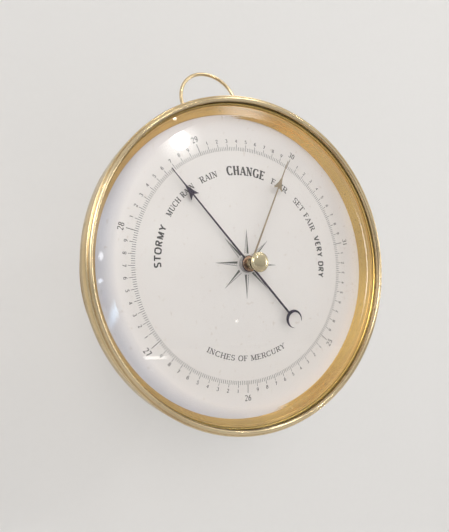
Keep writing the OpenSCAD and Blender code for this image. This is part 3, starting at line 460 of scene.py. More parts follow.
def makePiece(name, verts, faces, material, body, angle):
    mesh = bpy.data.meshes.new(name)
    mesh.from_pydata([tuple(v) for v in verts], [], faces)
    shaped = bmesh.new()
    shaped.from_mesh(mesh)
    bmesh.ops.remove_doubles(shaped, verts=shaped.verts, dist=1e-7)
    bmesh.ops.dissolve_degenerate(shaped, edges=shaped.edges, dist=1e-8)
    bmesh.ops.recalc_face_normals(shaped, faces=shaped.faces)
    shaped.to_mesh(mesh)
    shaped.free()
    finishMesh(mesh, angle)
    mesh.materials.append(material)
    piece = addObject(name, mesh)
    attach(piece, body)
    return piece


def joinRounds(rounds, count):  # faces between closed rounds of points, the last joined to the first
    faces = []
    for k in range(rounds):
        a, b = k * count, ((k + 1) % rounds) * count
        for i in range(count):
            j = (i + 1) % count
            faces.append((a + i, a + j, b + j, b + i))
    return faces


def turnPiece(name, outline, steps, body, slotName, angle):  # outline of (r, z) turned round the dial's axis
    verts = [onDial(r, 360 * k / steps, z) for k in range(steps) for r, z in outline]
    return makePiece(name, verts, joinRounds(steps, len(outline)), finishes[slotName], body, angle)


def bakeModifiers(piece, angle):
    bpy.context.view_layer.update()
    piece.data = bpy.data.meshes.new_from_object(piece.evaluated_get(bpy.context.evaluated_depsgraph_get()))
    piece.modifiers.clear()
    finishMesh(piece.data, angle)


def softCopy(nodeName, width, segments=2, angle=35, bends=False):  # the CAD piece with its corners eased
    source = nodes[nodeName]
    shaped = bmesh.new()
    shaped.from_mesh(source.data)
    bmesh.ops.remove_doubles(shaped, verts=shaped.verts, dist=2e-6)
    bmesh.ops.dissolve_limit(shaped, angle_limit=math.radians(0.6), verts=shaped.verts, edges=shaped.edges)
    mesh = bpy.data.meshes.new(nodeName + "_soft")
    shaped.to_mesh(mesh)
    shaped.free()
    piece = addObject(nodeName + "_soft", mesh)
    bevel = piece.modifiers.new("ease", "BEVEL")
    bevel.width = width * mm
    bevel.segments = segments
    bevel.limit_method = "ANGLE"
    bevel.angle_limit = math.radians(angle)
    bakeModifiers(piece, 40)
    piece.data.materials.clear()
    piece.data.materials.append(finishes[slotOf[nodeName]])
    if not bends:
        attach(piece, body_of(source)[0])
    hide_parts(nodeName)
    return piece


# ---- bezel: bead, spun lip, wall, hollow moulding and skirt ----
bezelSizes = {
    "skirtInR": 64.3, "skirtOutR": 65.5, "skirtLowZ": 30.0, "shoulderZ": 36.0, "dialZ": 38.0, "hollowH": 2.0,
    "outR": 68.9, "grooveR": 67.05, "lipR": 66.4, "beadR": 0.86, "crestZ": 49.2, "glassEdgeZ": 46.2,
    "edgeBeadR": 0.4, "edgeBeadZ": 47.95, "steps": 288,
    # (r, z) from the corner that each run belongs to
    "footIn": ((0, 0), (0.15, 0)), "footOut": ((-0.25, 0), (0, 0.25)),
    "shoulder": ((-0.16, 0.01), (-0.04, 0.06), (0, 0.2)),
    "edgeNeck": ((0, -0.75), (-0.12, -0.66), (-0.12, -0.44)),
    "quirk": ((0, 1.85), (0.06, 1.72), (0.5, 1.55), (0.62, 0.3)),
}


def buildBezel(s):
    outR, edgeR, beadR = s["outR"], s["edgeBeadR"], s["beadR"]
    outline = shifted(s["skirtInR"], s["skirtLowZ"], s["footIn"])
    outline += shifted(s["skirtOutR"], s["skirtLowZ"], s["footOut"])
    outline += arc(outR, s["shoulderZ"], s["skirtOutR"] - outR, s["hollowH"], 0, 90, 12)[:-1]  # hollow moulding
    outline += shifted(outR, s["dialZ"], s["shoulder"]) + shifted(outR, s["edgeBeadZ"], s["edgeNeck"])
    outline += arc(outR - edgeR, s["edgeBeadZ"], edgeR, edgeR, -50, 160, 14)  # small bead on the outer edge
    outline += arc(s["lipR"] + beadR, s["crestZ"] - beadR, beadR, beadR, -20, 200, 24)  # bead
    outline += shifted(s["lipR"], s["glassEdgeZ"], s["quirk"])  # at the glass
    outline += [(s["grooveR"], s["glassEdgeZ"] + 0.05), (s["grooveR"], s["dialZ"]), (s["skirtInR"], s["dialZ"])]
    piece = turnPiece("bezel_turned", outline, s["steps"], "case", "case_brass", 32)
    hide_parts("bezel")


buildBezel(bezelSizes)

# ---- sight ring between dial and glass: cone below, rounded moulding under the glass ----
sightSizes = {
    "footR": 62.9, "outR": 67.0, "topR": 66.39, "footZ": 38.0, "topZ": 45.0, "toe": 0.35, "ease": 0.1,
    "coneTopR": 65.05, "coneTopZ": 42.35, "rollR": 1.5, "rollMidR": 66.75, "rollMidZ": 43.55, "steps": 288,
    # (r, z) from the cone's top and from its toe
    "coneTop": ((0.42, 0.2), (0.12, 0.04), (-0.02, -0.1)), "coneToe": ((0.34, 0.42), (0.12, 0.1), (0, 0)),
}


def buildSightRing(s):
    footR, footZ, rollR = s["footR"], s["footZ"], s["rollR"]
    outline = [(footR + s["ease"], footZ), (s["outR"], footZ), (s["outR"], s["topZ"]), (s["topR"], s["topZ"])]
    outline += arc(s["rollMidR"], s["rollMidZ"], rollR, rollR, 104, 111, 12)  # roll
    outline += shifted(s["coneTopR"], s["coneTopZ"], s["coneTop"]) + shifted(footR, footZ + s["toe"], s["coneToe"])
    outline.append((footR, footZ + s["ease"]))
    piece = turnPiece("sight_ring_turned", outline, s["steps"], "case", "gilt_brass", 30)
    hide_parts("sight_ring")


buildSightRing(sightSizes)

# ---- glass with its wide bevel ----
glassSizes = {
    "holeR": 2.0, "outR": 67.0, "flatR": 60.1, "backZ": 45.0, "edgeZ": 46.6, "frontZ": 47.8,
    "arris": 0.12, "brow": 0.35, "steps": 288,
}


def buildGlass(s):
    c = s["arris"]
    slope = (s["frontZ"] - s["edgeZ"]) / (s["outR"] - s["flatR"])
    outline = [(s["holeR"] + c, s["backZ"]), (s["outR"] - c, s["backZ"]), (s["outR"], s["backZ"] + c),
        (s["outR"], s["edgeZ"] - c / 2), (s["outR"] - c, s["edgeZ"] + c * slope),
        (s["flatR"] + s["brow"], s["frontZ"] - s["brow"] * slope), (s["flatR"] - s["brow"], s["frontZ"]),
        (s["holeR"] + c, s["frontZ"]), (s["holeR"], s["frontZ"] - c), (s["holeR"], s["backZ"] + c)]
    piece = turnPiece("glass_bevelled", outline, s["steps"], "case", "bevelled_glass", 4)
    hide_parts("glass")


buildGlass(glassSizes)

# ---- ring, bent from wire with a closed butt joint at its foot ----
ringSizes = {
    "midR": 15.5, "wireR": 0.85, "eyeY": 69.1, "eyeZ": 6.0, "lean": 8, "steps": 180, "sides": 30, "seam": 0.1,
}


def buildRing(s):
    verts = []
    lean = Matrix.Rotation(math.radians(-s["lean"]), 3, "X")
    for i in range(s["steps"]):
        turn = 2 * math.pi * i / s["steps"]
        wire = s["wireR"] - (s["seam"] if i == 0 else 0)  # seam of the joint, hidden in the eye
        for j in range(s["sides"]):
            side = 2 * math.pi * j / s["sides"]
            r = s["midR"] + wire * math.cos(side)
            p = lean @ Vector((r * math.sin(turn), s["midR"] - r * math.cos(turn), wire * math.sin(side)))
            verts.append(bench(p.x, p.y + s["eyeY"], p.z + s["eyeZ"]))
    piece = makePiece("hanging_ring_bent", verts, joinRounds(s["steps"], s["sides"]), finishes["case_brass"],
        "ring", 60)
    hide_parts("hanging_ring")


buildRing(ringSizes)
print("bezel, sight ring, glass and ring built")


# ---- engraved work on the dial ----
dialFace = 38.0
waxRise = 0.02
waxSink = 0.03


def around(points, i):  # the points before and after this one
    return points[max(i - 1, 0)], points[min(i + 1, len(points) - 1)]


class Wax:  # gathers closed slivers of wax, each sunk a little in the plate
    def __init__(self):
        self.verts = []
        self.faces = []

    def ribbon(self, left, right, closed=False):
        start, count = len(self.verts), len(left)
        for a, b in zip(left, right):
            for z in (dialFace + waxRise, dialFace - waxSink):
                self.verts += [bench(*a, z), bench(*b, z)]
        for i in range(count if closed else count - 1):
            p, q = start + 4 * i, start + 4 * ((i + 1) % count)
            self.faces += [(p, p + 1, q + 1, q), (p + 2, q + 2, q + 3, p + 3),
                (p, q, q + 2, p + 2), (p + 1, p + 3, q + 3, q + 1)]
        if not closed:
            e = start + 4 * (count - 1)
            self.faces += [(start, start + 2, start + 3, start + 1), (e, e + 1, e + 3, e + 2)]

    def line(self, points, widths):
        left, right = [], []
        for i, p in enumerate(points):
            a, b = around(points, i)
            d = Vector((b[0] - a[0], b[1] - a[1]))
            d = d.normalized() if d.length > 1e-9 else Vector((1, 0))
            half = widths[i] / 2
            left.append((p[0] - d.y * half, p[1] + d.x * half))
            right.append((p[0] + d.y * half, p[1] - d.x * half))
        self.ribbon(left, right)

    def circle(self, r, width, steps=180):
        turns = [2 * math.pi * i / steps for i in range(steps)]
        self.ribbon(*([(math.sin(t) * edge, math.cos(t) * edge) for t in turns]
            for edge in (r - width / 2, r + width / 2)), closed=True)

    def patch(self, points):
        start, count = len(self.verts), len(points)
        self.verts += [bench(*p, z) for z in (dialFace + waxRise, dialFace - waxSink) for p in points]
        self.faces.append(tuple(range(start, start + count)))
        self.faces.append(tuple(range(start + 2 * count - 1, start + count - 1, -1)))
        for i in range(count):
            j = (i + 1) % count
            self.faces.append((start + i, start + j, start + count + j, start + count + i))

    def done(self, name, material):
        makePiece(name, self.verts, self.faces, material, "case", 30)


# letter skeletons in hundredths of the body's height: width, strokes, upright serifs and level serifs
# a line is (x0, y0, x1, y1, weight), an arc is (x, y, rx, ry, from, to, weight), its angles in degrees
# weight 1 is thick, -1 is thin and 0 follows the pen; a serif is the (x, y) of its middle
letterForms = {
    "A": (72, [(4, 0, 36, 100, -1), (36, 100, 68, 0, 1), (15, 33, 57, 33, -1)], [], [(4, 0), (68, 0)]),
    "C": (70, [(38, 50, 34, 50, 48, 312, 0)], [(62, 86), (62, 15)], []),
    "D": (74, [(14, 0, 14, 100, 1), (14, 100, 34, 100, -1), (34, 50, 36, 50, 90, -90, 0), (34, 0, 14, 0, -1)],
        [], [(8, 0), (8, 100)]),
    "E": (62, [(14, 0, 14, 100, 1), (14, 100, 56, 100, -1), (14, 52, 44, 52, -1), (14, 0, 58, 0, -1)],
        [(56, 92), (44, 52), (58, 8)], [(8, 0), (8, 100)]),
    "F": (58, [(14, 0, 14, 100, 1), (14, 100, 54, 100, -1), (14, 52, 42, 52, -1)],
        [(54, 92), (42, 52)], [(14, 0), (8, 100)]),
    "G": (76, [(38, 50, 34, 50, 48, 335, 0), (66, 5, 66, 42, 1)], [(62, 86)], [(66, 42)]),
    "H": (78, [(14, 0, 14, 100, 1), (64, 0, 64, 100, 1), (14, 52, 64, 52, -1)],
        [], [(14, 0), (14, 100), (64, 0), (64, 100)]),
    "I": (30, [(15, 0, 15, 100, 1)], [], [(15, 0), (15, 100)]),
    "M": (90, [(12, 0, 12, 100, -1), (12, 100, 44, 6, 1), (44, 6, 76, 100, -1), (76, 100, 76, 0, 1)],
        [], [(12, 0), (8, 100), (76, 0), (80, 100)]),
    "N": (78, [(12, 0, 12, 100, -1), (12, 100, 64, 0, 1), (64, 0, 64, 100, -1)],
        [], [(12, 0), (8, 100), (64, 100)]),
    "O": (76, [(38, 50, 33, 50, 90, 450, 0)], [], []),
    "R": (72, [(14, 0, 14, 100, 1), (14, 100, 36, 100, -1), (36, 75, 22, 25, 90, -90, 0),
        (36, 50, 14, 50, -1), (36, 50, 62, 0, 1)],
        [], [(14, 0), (8, 100), (64, 0)]),
    "S": (58, [(29, 74, 21, 24, 25, 270, 0), (29, 25, 23, 25, 90, -155, 0)], [(49, 86), (8, 15)], []),
    "T": (70, [(35, 0, 35, 100, 1), (3, 100, 67, 100, -1)], [(3, 91), (67, 91)], [(35, 0)]),
    "U": (78, [(14, 100, 14, 32, 1), (39, 32, 25, 32, 180, 360, 0), (64, 32, 64, 100, -1)],
        [], [(14, 100), (64, 100)]),
    "V": (70, [(4, 100, 36, 0, 1), (36, 0, 66, 100, -1)], [], [(4, 100), (66, 100)]),
    "Y": (70, [(35, 0, 35, 45, 1), (4, 100, 35, 45, 1), (35, 45, 66, 100, -1)], [], [(35, 0), (4, 100), (66, 100)]),
    "0": (58, [(29, 50, 23, 50, 90, 450, 0)], [], []),
    "1": (40, [(22, 0, 22, 100, 1), (22, 100, 8, 84, -1)], [], [(22, 0)]),
    "2": (58, [(27, 73, 22, 27, 165, -35, 0), (45, 57.5, 6, 2, -1), (5, 4, 52, 4, 1)], [], []),
    "3": (56, [(26, 76, 19, 24, 150, -90, 0), (26, 27, 23, 27, 90, -155, 0)], [], []),
    "4": (60, [(42, 0, 42, 100, 1), (42, 100, 3, 30, -1), (3, 30, 56, 30, -1)], [], []),
    "5": (56, [(48, 98, 12, 98, 1), (12, 98, 10, 56, -1), (26, 31, 23, 31, 125, -150, 0)], [], []),
    "6": (58, [(29, 30, 22, 30, 0, 360, 0), (50, 35, 43, 65, 92, 180, 0)], [], []),
    "7": (54, [(4, 97, 50, 97, 1), (50, 97, 18, 0, 1)], [], []),
    "8": (58, [(29, 76, 19, 24, 90, 450, 0), (29, 27, 23, 27, 90, 450, 0)], [], []),
    "9": (58, [(29, 70, 22, 30, 0, 360, 0), (8, 65, 43, 65, -88, 0, 0)], [], []),
}
spacing = {"letters": 0.16, "words": 0.20, "blank": 0.26}


def letterStrokes(letter, font):  # centre lines with widths, on a body one high
    _, strokes, upright, level = letterForms[letter]
    thin, serif = font["thin"], font["serif"]
    lines = []

    def inside(y):  # keeps the line's edge on the body
        return min(max(y, thin / 2), 1 - thin / 2)
    for stroke in strokes:
        x, y, u, v = (n / 100 for n in stroke[:4])
        if len(stroke) == 5:
            points = [(x + (u - x) * k / 3, y + (v - y) * k / 3) for k in range(4)]
        else:
            sweep = stroke[5] - stroke[4]
            points = arc(x, y, u, v, stroke[4], sweep, max(6, int(abs(sweep) / 20)))
        widths = []
        for i in range(len(points)):
            a, b = around(points, i)
            climb = abs(b[1] - a[1]) / max(math.hypot(b[0] - a[0], b[1] - a[1]), 1e-9)
            share = {1: 1.0, -1: 0.0}.get(stroke[-1], climb ** 1.5)
            widths.append(thin + (font["thick"] - thin) * share)
        lines.append(([(x, inside(y)) for x, y in points], widths))
    if serif > 0:
        for x, y in upright:
            x, y = x / 100, y / 100
            lines.append(([(x, y - serif * 0.7), (x, y + serif * 0.7)], [thin * 1.3] * 2))
        for x, y in level:
            x, y = x / 100, inside(y / 100)
            lines.append(([(x - serif, y), (x, y), (x + serif, y)], [thin * 1.15] * 3))
    return lines


def letterWidth(letter):
    return spacing["blank"] if letter == " " else letterForms[letter][0] / 100


def setLetter(wax, letter, font, angle, radius, height, stretch, side):  # side 1: tops out, -1: tops in
    middle = radius + side * height / 2
    for points, widths in letterStrokes(letter, font):
        placed = []
        for x, y in points:
            along = (x - letterWidth(letter) / 2) * stretch * height / middle
            a = math.radians(angle) + side * along
            r = radius + side * y * height
            placed.append((r * math.sin(a), r * math.cos(a)))
        wax.line(placed, [w * height for w in widths])


def setWord(wax, word, font, span, radius, height):  # a span that runs back has its tops in
    side = 1 if span[1] > span[0] else -1
    middle = radius + side * height / 2
    room = math.radians(abs(span[1] - span[0])) * middle / height
    gaps = [spacing["words" if " " in pair else "letters"] for pair in zip(word, word[1:])]
    stretch = (room - sum(gaps)) / sum(letterWidth(c) for c in word)
    at = 0.0
    for c, gap in zip(word, gaps + [0]):
        width = letterWidth(c) * stretch
        if c != " ":
            angle = span[0] + side * math.degrees((at + width / 2) * height / middle)
            setLetter(wax, c, font, angle, radius, height, stretch, side)
        at += width + gap


romanPen = {"thick": 0.19, "thin": 0.085, "serif": 0.14}
slabPen = {"thick": 0.23, "thin": 0.10, "serif": 0.15}
blockPen = {"thick": 0.215, "thin": 0.18, "serif": 0}
figurePen = {"thick": 0.17, "thin": 0.08, "serif": 0.12}
smallPen = {"thick": 0.19, "thin": 0.11, "serif": 0}

dialWords = [  # word, pen, span in degrees clockwise from the top, foot radius, height
    ("STORMY", blockPen, (266.0, 290.4), 38.3, 3.0),
    ("MUCH RAIN", romanPen, (296.8, 321.6), 38.6, 2.35),
    ("RAIN", romanPen, (327.2, 339.4), 38.5, 2.6),
    ("CHANGE", slabPen, (346.8, 373.2), 38.2, 3.9),
    ("FAIR", romanPen, (19.2, 32.4), 38.4, 2.6),
    ("SET FAIR", romanPen, (39.6, 64.8), 38.1, 2.7),
    ("VERY DRY", blockPen, (69.2, 96.8), 38.1, 3.1),
    ("INCHES OF MERCURY", romanPen, (208.0, 152.0), 40.6, 2.2),
]
scaleMarks = {
    "firstInch": 25, "inches": 7, "zeroAngle": 180.0, "zeroInch": 26, "perInch": 50,
    "markD": 0.05, "markRise": 0.005,
    "footR": 48.7, "fineL": 1.6, "tenthL": 2.8, "inchL": 5.0, "lineW": 0.19,
    "digitR": 52.15, "digitH": 1.45, "digitStretch": 1.15, "numberR": 54.6, "numberH": 2.3, "numberW": 1.25,
}


def buildLettering():
    wax = Wax()
    for entry in dialWords:
        setWord(wax, *entry)
    wax.done("weather_words", blackWax)


def buildFigures(s):  # tops out on the dial's upper half, tops in on its lower half
    wax = Wax()
    inchTurn = 360 / s["inches"]
    half = math.degrees(0.5 * s["numberW"] * s["numberH"] / (s["numberR"] + 1))
    for k in range(s["inches"]):
        inch = s["firstInch"] + k
        base = s["zeroAngle"] + (inch - s["zeroInch"]) * inchTurn
        out = math.cos(math.radians(base)) > 0
        span = (base - half, base + half) if out else (base + half, base - half)
        setWord(wax, str(inch), figurePen, span, s["numberR"] + (0 if out else s["numberH"]), s["numberH"])
        for d in range(1, 10):
            angle = base + d * inchTurn / 10
            out = math.cos(math.radians(angle)) > 0
            setLetter(wax, str(d), smallPen, angle, s["digitR"] + (0 if out else s["digitH"]), s["digitH"],
                s["digitStretch"], 1 if out else -1)
    wax.done("scale_figures", blackWax)


buildLettering()
buildFigures(scaleMarks)

# ---- rosette of eight rays round the arbor ----
rosette = {
    "rays": 8, "footR": 4.5, "tipR": 14.7, "tipW": 0.02, "halfW": 0.98, "lineW": 0.15, "hatches": 9,
    "hatchRise": 0.35, "rings": (3.0, 3.5), "ringW": 0.16,
}


def buildRosette(s):
    dark, fine = Wax(), Wax()
    foot, tip, halfW = s["footR"], s["tipR"], s["halfW"]
    for k in range(s["rays"]):
        turn = math.radians(360 * k / s["rays"])

        def at(across, out):  # across is towards the clockwise side
            return (across * math.cos(turn) + out * math.sin(turn),
                -across * math.sin(turn) + out * math.cos(turn))
        dark.patch([at(0, foot), at(halfW, foot), at(s["tipW"], tip), at(0, tip)])
        fine.line([at(-halfW, foot), at(-halfW * 0.5, (foot + tip) / 2), at(0, tip)],
            [s["lineW"], s["lineW"], s["lineW"] * 0.6])
        for h in range(s["hatches"]):
            out = foot + (tip - foot) * (h + 0.6) / (s["hatches"] + 3)
            w = halfW * (tip - out) / (tip - foot)
            fine.line([at(-w, out - s["hatchRise"]), at(0, out + s["hatchRise"])], [s["lineW"] * 0.55] * 2)
    for r in s["rings"]:
        fine.circle(r, s["ringW"])
    dark.done("rosette_rays", greyWax)
    fine.done("rosette_lines", blackWax)


buildRosette(rosette)
print("words, figures and rosette engraved")


# ---- repeated work by Geometry Nodes ----
def startRepeat(name, inputs):
    tree, put, out = newTree(name, [("Geometry", "Geometry", None)] + inputs, [("Geometry", "Geometry")],
        "GeometryNodeTree")
    index = tree.nodes.new("GeometryNodeInputIndex").outputs[0]
    turn = mathNode(tree, "DIVIDE", times(tree, index, 2 * math.pi), put["Count"])
    return tree, put, out, index, turn


def pointsRound(tree, count, turn, radius, depth):  # points on a circle round the dial's axis
    x = times(tree, mathNode(tree, "SINE", turn), radius)
    z = times(tree, mathNode(tree, "COSINE", turn), radius)
    place = joinVector(tree, X=x, Y=depth, Z=z)
    return addNode(tree, "GeometryNodePoints", {"Count": count, "Position": place}).outputs[0]


def endRepeat(tree, out, material, **placing):
    copies = addNode(tree, "GeometryNodeInstanceOnPoints", placing)
    real = addNode(tree, "GeometryNodeRealizeInstances", {0: copies.outputs[0]})
    paint = addNode(tree, "GeometryNodeSetMaterial", {"Geometry": real.outputs[0], "Material": material})
    feed(tree, out, {0: paint.outputs[0]})
    return tree


def runNodeTree(name, tree, values, body):
    piece = addObject(name, bpy.data.meshes.new(name))
    modifier = piece.modifiers.new("build", "NODES")
    modifier.node_group = tree
    for item in tree.interface.items_tree:
        if item.item_type == "SOCKET" and item.in_out == "INPUT" and item.name in values:
            modifier[item.identifier] = values[item.name]
    bakeModifiers(piece, 35)
    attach(piece, body)


def buildTickTree():  # marks round the dial, fifty to the inch: longer at the tenths, longest at the inches
    tree, put, out, index, turn = startRepeat("scaleTicks", [
        ("Count", "Int", 350), ("Tenth Every", "Int", 5), ("Inch Every", "Int", 50),
        ("Start Angle", "Float", math.pi), ("Foot Radius", "Float", 0.0487), ("Fine Length", "Float", 0.0016),
        ("Tenth Length", "Float", 0.0028), ("Inch Length", "Float", 0.005), ("Width", "Float", 0.00013),
        ("Height", "Float", -0.038), ("Depth", "Float", 0.00005)])
    turn = plus(tree, turn, put["Start Angle"])
    tenth, inch = (mathNode(tree, "LESS_THAN", mathNode(tree, "MODULO", index, put[every]), 0.5)
        for every in ("Tenth Every", "Inch Every"))
    more = times(tree, tenth, mathNode(tree, "SUBTRACT", put["Tenth Length"], put["Fine Length"]))
    most = times(tree, inch, mathNode(tree, "SUBTRACT", put["Inch Length"], put["Tenth Length"]))
    length = plus(tree, put["Fine Length"], plus(tree, more, most))
    middle = plus(tree, put["Foot Radius"], times(tree, length, 0.5))
    points = pointsRound(tree, put["Count"], turn, middle, put["Height"])
    broad = plus(tree, put["Width"], times(tree, inch, 0.00007))  # inch marks are a little broader
    cube = addNode(tree, "GeometryNodeMeshCube", {"Size": (1, 1, 1)})
    return endRepeat(tree, out, blackWax, Points=points, Instance=cube.outputs["Mesh"],
        Rotation=joinVector(tree, Y=turn), Scale=joinVector(tree, X=broad, Y=put["Depth"], Z=length))


def buildTicks(s):
    runNodeTree("scale_ticks", buildTickTree(), {
        "Count": s["inches"] * s["perInch"], "Start Angle": math.radians(s["zeroAngle"]),
        "Foot Radius": s["footR"] * mm, "Fine Length": s["fineL"] * mm, "Tenth Length": s["tenthL"] * mm,
        "Inch Length": s["inchL"] * mm, "Width": s["lineW"] * mm, "Height": -(dialFace - s["markRise"]) * mm,
        "Depth": s["markD"] * mm}, "case")


buildTicks(scaleMarks)

# ---- setting knob: domed button with a milled rim, on a short neck ----
knobSizes = {
    "bottomZ": 48.35, "height": 1.6, "neckH": 0.64, "neckR": 2.2, "rimR": 4.02, "dome": 0.5, "domeIn": 0.52,
    "boreR": 1.05, "boreH": 1.0, "domeBend": (0.85, 1.1), "steps": 144,
    "ribs": 84, "ribR": 0.13, "ribIn": 0.05, "ribShort": 0.42, "ribDrop": 0.02,
    # (r, z) from the corner that each run belongs to
    "neckFoot": ((-0.1, 0), (0, 0.1)), "neckTop": ((0, -0.25), (0.08, -0.08), (0.25, 0)),
    "rimFoot": ((-0.2, 0), (0, 0.15)),
    "rimTop": ((0, -0.22), (-0.05, -0.08), (-0.17, 0), (-0.32, 0.02), (-0.44, -0.03), (-0.52, 0)),
}


def buildKnob(s):
    z0, zRim, z1 = s["bottomZ"], s["bottomZ"] + s["neckH"], s["bottomZ"] + s["height"]
    outline = [(s["boreR"], z0)] + shifted(s["neckR"], z0, s["neckFoot"]) + shifted(s["neckR"], zRim, s["neckTop"])
    outline += shifted(s["rimR"], zRim, s["rimFoot"]) + shifted(s["rimR"], z1, s["rimTop"])
    for k in range(1, 18):  # dome inside the rim's bright edge
        a = math.radians(90 * (k / 18))
        outline.append(((s["rimR"] - s["domeIn"]) * math.cos(a) ** s["domeBend"][0],
            z1 + s["dome"] * math.sin(a) ** s["domeBend"][1]))
    outline += [(0.0, z1 + s["dome"]), (0.0, z0 + s["boreH"]), (s["boreR"], z0 + s["boreH"])]
    piece = turnPiece("setting_knob_turned", outline, s["steps"], "setting_hand", "knob_brass", 30)
    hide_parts("setting_knob")


def buildMillingTree():  # ribs of the milled rim
    tree, put, out, _, turn = startRepeat("milledRim", [
        ("Count", "Int", 72), ("Rim Radius", "Float", 0.004), ("Rib Radius", "Float", 0.00017),
        ("Rib Height", "Float", 0.0012), ("Middle", "Float", -0.049)])
    points = pointsRound(tree, put["Count"], turn, put["Rim Radius"], put["Middle"])
    rib = addNode(tree, "GeometryNodeMeshCylinder",
        {"Vertices": 8, "Radius": put["Rib Radius"], "Depth": put["Rib Height"]})
    lay = addNode(tree, "GeometryNodeTransform",
        {"Geometry": rib.outputs["Mesh"], "Rotation": (math.pi / 2, 0, 0)})
    return endRepeat(tree, out, finishes["knob_brass"], Points=points, Instance=lay.outputs[0])


def buildMilling(s):
    runNodeTree("setting_knob_milling", buildMillingTree(), {
        "Count": s["ribs"], "Rim Radius": (s["rimR"] - s["ribIn"]) * mm, "Rib Radius": s["ribR"] * mm,
        "Rib Height": (s["height"] - s["neckH"] - s["ribShort"]) * mm,
        "Middle": -(s["bottomZ"] + (s["height"] + s["neckH"]) / 2 - s["ribDrop"]) * mm},
        "setting_hand")


buildKnob(knobSizes)
buildMilling(knobSizes)
print("ticks and milled rim run")

# ---- CAD pieces whose corners are eased ----
easedPieces = {  # node: width of the eased corner in mm
    "pendant": 0.18, "pendant_nut": 0.15, "pointer": 0.09, "set_hand": 0.09, "pointer_collet": 0.12,
    "glass_bush": 0.08, "bush_nut": 0.1,
}
for nodeName, width in easedPieces.items():
    softCopy(nodeName, width)
print("corners eased")

# ---- springy pieces that bend with what they carry ----
bendingPieces = {  # node: eased corner, moving body, where the bend begins and ends
    "mainspring": (0.15, "lever", bench(0, -42, 9.8), bench(0, -42, 16.2)),
    "chain": (0.06, "rocker", bench(1, 29, 31), bench(1, 36.6, 31)),
}
for nodeName, (width, mover, start, end) in bendingPieces.items():
    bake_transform(softCopy(nodeName, width, segments=1, bends=True), "case", mover, start=start, end=end)


def buildDiaphragm(edge):  # the capsule's upper skin rises and sinks with its post
    low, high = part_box("capsule_upper")
    skin = softCopy("capsule_upper", edge, segments=1, angle=50, bends=True)
    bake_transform(skin, "case", "capsule_post", start=(0, high[1] - 0.0004, 0), end=(0, low[1] + 0.0006, 0))


buildDiaphragm(0.05)
print("springy pieces made")

# ---- wall, floor and light ----
stageLook = {
    "wallColour": (0.78, 0.77, 0.755), "floorColour": (0.66, 0.65, 0.64), "mottleColour": (0.5, 0.48, 0.46),
    "mottleDepth": 0.06, "mottleScale": 240, "rough": 0.9, "specular": 0.1,
    "wallGap": 0.12, "floorZ": -0.42, "reach": 3,
}


def stageFinish(name, colour, look):  # seen only from its front, so that views from behind stay open
    material, tree, shader, place = startMaterial(name)
    noise = noiseNode(tree, place, Scale=look["mottleScale"], Detail=4)
    mottled = mixColour(tree, times(tree, noise, look["mottleDepth"]), colour, look["mottleColour"])
    feed(tree, shader, {"Base Color": mottled, "Roughness": look["rough"], "Specular IOR Level": look["specular"]})
    geometry = tree.nodes.new("ShaderNodeNewGeometry")
    openSurface(tree, geometry.outputs["Backfacing"], shader, (1, 1, 1, 1))
    return material


def stageSheet(name, corners, material):
    mesh = bpy.data.meshes.new(name)
    mesh.from_pydata(corners, [], [tuple(range(4))])
    mesh.materials.append(material)
    sheet = addObject(name, mesh)


def buildStage(s):
    gap, low, far = s["wallGap"], s["floorZ"], s["reach"]
    stageSheet("wall", [(-far, gap, low), (far, gap, low), (far, gap, far), (-far, gap, far)],
        stageFinish("wallPaint", s["wallColour"], s))
    stageSheet("floor", [(-far, -4, low), (far, -4, low), (far, gap, low), (-far, gap, low)],
        stageFinish("floorPaint", s["floorColour"], s))


buildStage(stageLook)

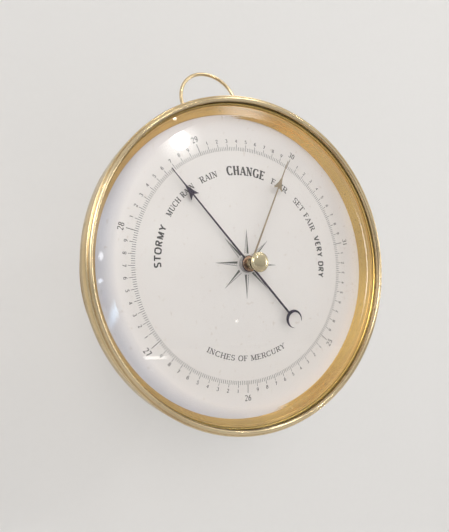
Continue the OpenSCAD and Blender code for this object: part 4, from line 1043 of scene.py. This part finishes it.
lamps = {  # place, aim, width, height, power, colour, how soft its edge is
    "frontLamp": ((-0.62, -1.75, 0.48), (0, 0, 0), 1.1, 1.3, 26.5, (1.0, 0.985, 0.97), 0.9),
    "upperLamp": ((0.60, -0.90, 0.96), (0, 0, 0), 0.5, 0.4, 2.6, (1.0, 0.98, 0.95), 1.0),
    "topStrip": ((0.5, -0.25, 1.15), (0, -0.05, 0), 1.0, 0.12, 3.4, (1.0, 0.98, 0.95), 0.8),
    "sideSoft": ((1.25, -0.9, 0.12), (0, -0.05, 0), 0.22, 0.8, 3.2, (1.0, 0.985, 0.96), 0.9),
    "sideStrip": ((1.2, -0.2, 0.1), (0, -0.05, 0), 0.1, 0.8, 2.8, (0.97, 0.98, 1.0), 0.8),
    "windowLamp": ((-0.138, -1.234, -0.165), (-0.054, -0.048, -0.02), 0.05, 0.24, 0.22, (0.55, 0.78, 1.0), 1.0),
    "bevelGlint": ((-0.200, -1.233, 0.120), (-0.06, -0.048, 0), 0.02, 0.07, 0.035, (1.0, 1.0, 1.0), 0.8),
    "bevelGlintLow": ((-0.198, -1.239, -0.005), (-0.06, -0.048, 0), 0.02, 0.04, 0.02, (0.85, 0.93, 1.0), 0.8),
    "glintCore": ((0.397, -1.094, 0.445), (-0.035, -0.048, 0.046), 0.06, 0.06, 0.7, (1.0, 0.99, 0.97), 0.6),
    "glintHalo": ((0.401, -1.106, 0.449), (-0.035, -0.048, 0.046), 0.17, 0.17, 0.25, (1.0, 0.99, 0.97), 1.0),
    "glintTail": ((0.185, -0.970, 0.787), (-0.035, -0.048, 0.052), 0.03, 0.03, 0.06, (1.0, 0.99, 0.97), 0.8),
    "streakLamp": ((0.352, -1.173, -0.165), (-0.044, -0.048, -0.036), 0.10, 0.012, 0.012, (1.0, 1.0, 1.0), 0.6),
    "roomLampA": ((0.576, -1.094, -0.065), (0, -0.048, -0.02), 0.014, 0.014, 0.002, (1.0, 0.97, 0.92), 0.9),
    "roomLampB": ((0.769, -0.667, 0.766), (0.02, -0.048, 0.06), 0.07, 0.07, 1.1, (1.0, 0.95, 0.86), 1.0),
    "roomLampC": ((-0.85, -0.75, 0.75), (-0.05, -0.05, 0.03), 0.04, 0.04, 0.3, (1.0, 0.95, 0.86), 0.8),
    "roomLampD": ((0.75, -0.62, -0.72), (0.03, -0.05, -0.05), 0.07, 0.07, 0.8, (1.0, 0.94, 0.84), 1.0),
}


def softenLamp(light, softness):  # brightness falls away towards the lamp's edge
    light.use_nodes = True
    tree = light.node_tree
    place = tree.nodes.new("ShaderNodeNewGeometry").outputs["Parametric"]
    centred = addNode(tree, "ShaderNodeVectorMath", {0: place, 1: (0.5, 0.5, 0)}, operation="SUBTRACT")
    parts = splitVector(tree, centred.outputs[0])
    if light.shape == "ELLIPSE":
        far = lengthNode(tree, parts["X"], parts["Y"])
    else:
        far = mathNode(tree, "MAXIMUM", *(mathNode(tree, "ABSOLUTE", parts[axis]) for axis in "XY"))
    fade = rangeNode(tree, far, 0.5, 0.5 - 0.5 * softness, interpolation_type="SMOOTHERSTEP")
    emission = next(n for n in tree.nodes if n.type == "EMISSION")
    feed(tree, emission, {"Strength": fade})


for name, (place, aim, width, height, power, colour, softness) in lamps.items():
    light = bpy.data.lights.new(name, "AREA")
    light.shape = "RECTANGLE" if name.endswith(("Strip", "streakLamp")) else "ELLIPSE"
    light.size, light.size_y = width, height
    light.energy = power
    light.color = colour
    softenLamp(light, softness)
    lamp = addObject(name, light)
    lamp.location = place
    lamp.rotation_euler = (Vector(aim) - Vector(place)).to_track_quat("-Z", "Y").to_euler()

studioSky = {"low": 0.34, "level": 0.56, "band": 0.95, "high": 0.8, "bandAt": 0.72, "front": 0.72}


def buildSky(s):  # pale studio air, dimmer low down and behind the camera
    world = bpy.data.worlds.new("studio")
    world.use_nodes = True
    scene.world = world
    tree = world.node_tree
    tree.nodes.clear()
    parts = splitVector(tree, tree.nodes.new("ShaderNodeTexCoord").outputs["Generated"])
    ramp = tree.nodes.new("ShaderNodeValToRGB")
    stops = ramp.color_ramp.elements
    stops[0].position, stops[0].color = 0.0, (s["low"],) * 3 + (1,)
    stops[1].position, stops[1].color = 1.0, (s["high"],) * 3 + (1,)
    for at, level in ((0.5, s["level"]), (s["bandAt"], s["band"])):
        stops.new(at).color = (level,) * 3 + (1,)
    feed(tree, ramp, {0: rangeNode(tree, parts["Z"], -1, 1)})
    dim = rangeNode(tree, parts["Y"], -1.0, -0.3, s["front"], 1.0)
    scaled = mixColour(tree, 1.0, ramp.outputs[0], dim, blend="MULTIPLY")
    background = addNode(tree, "ShaderNodeBackground", {"Color": scaled})
    addNode(tree, "ShaderNodeOutputWorld", {"Surface": background.outputs[0]})


buildSky(studioSky)
print("stage and light set")
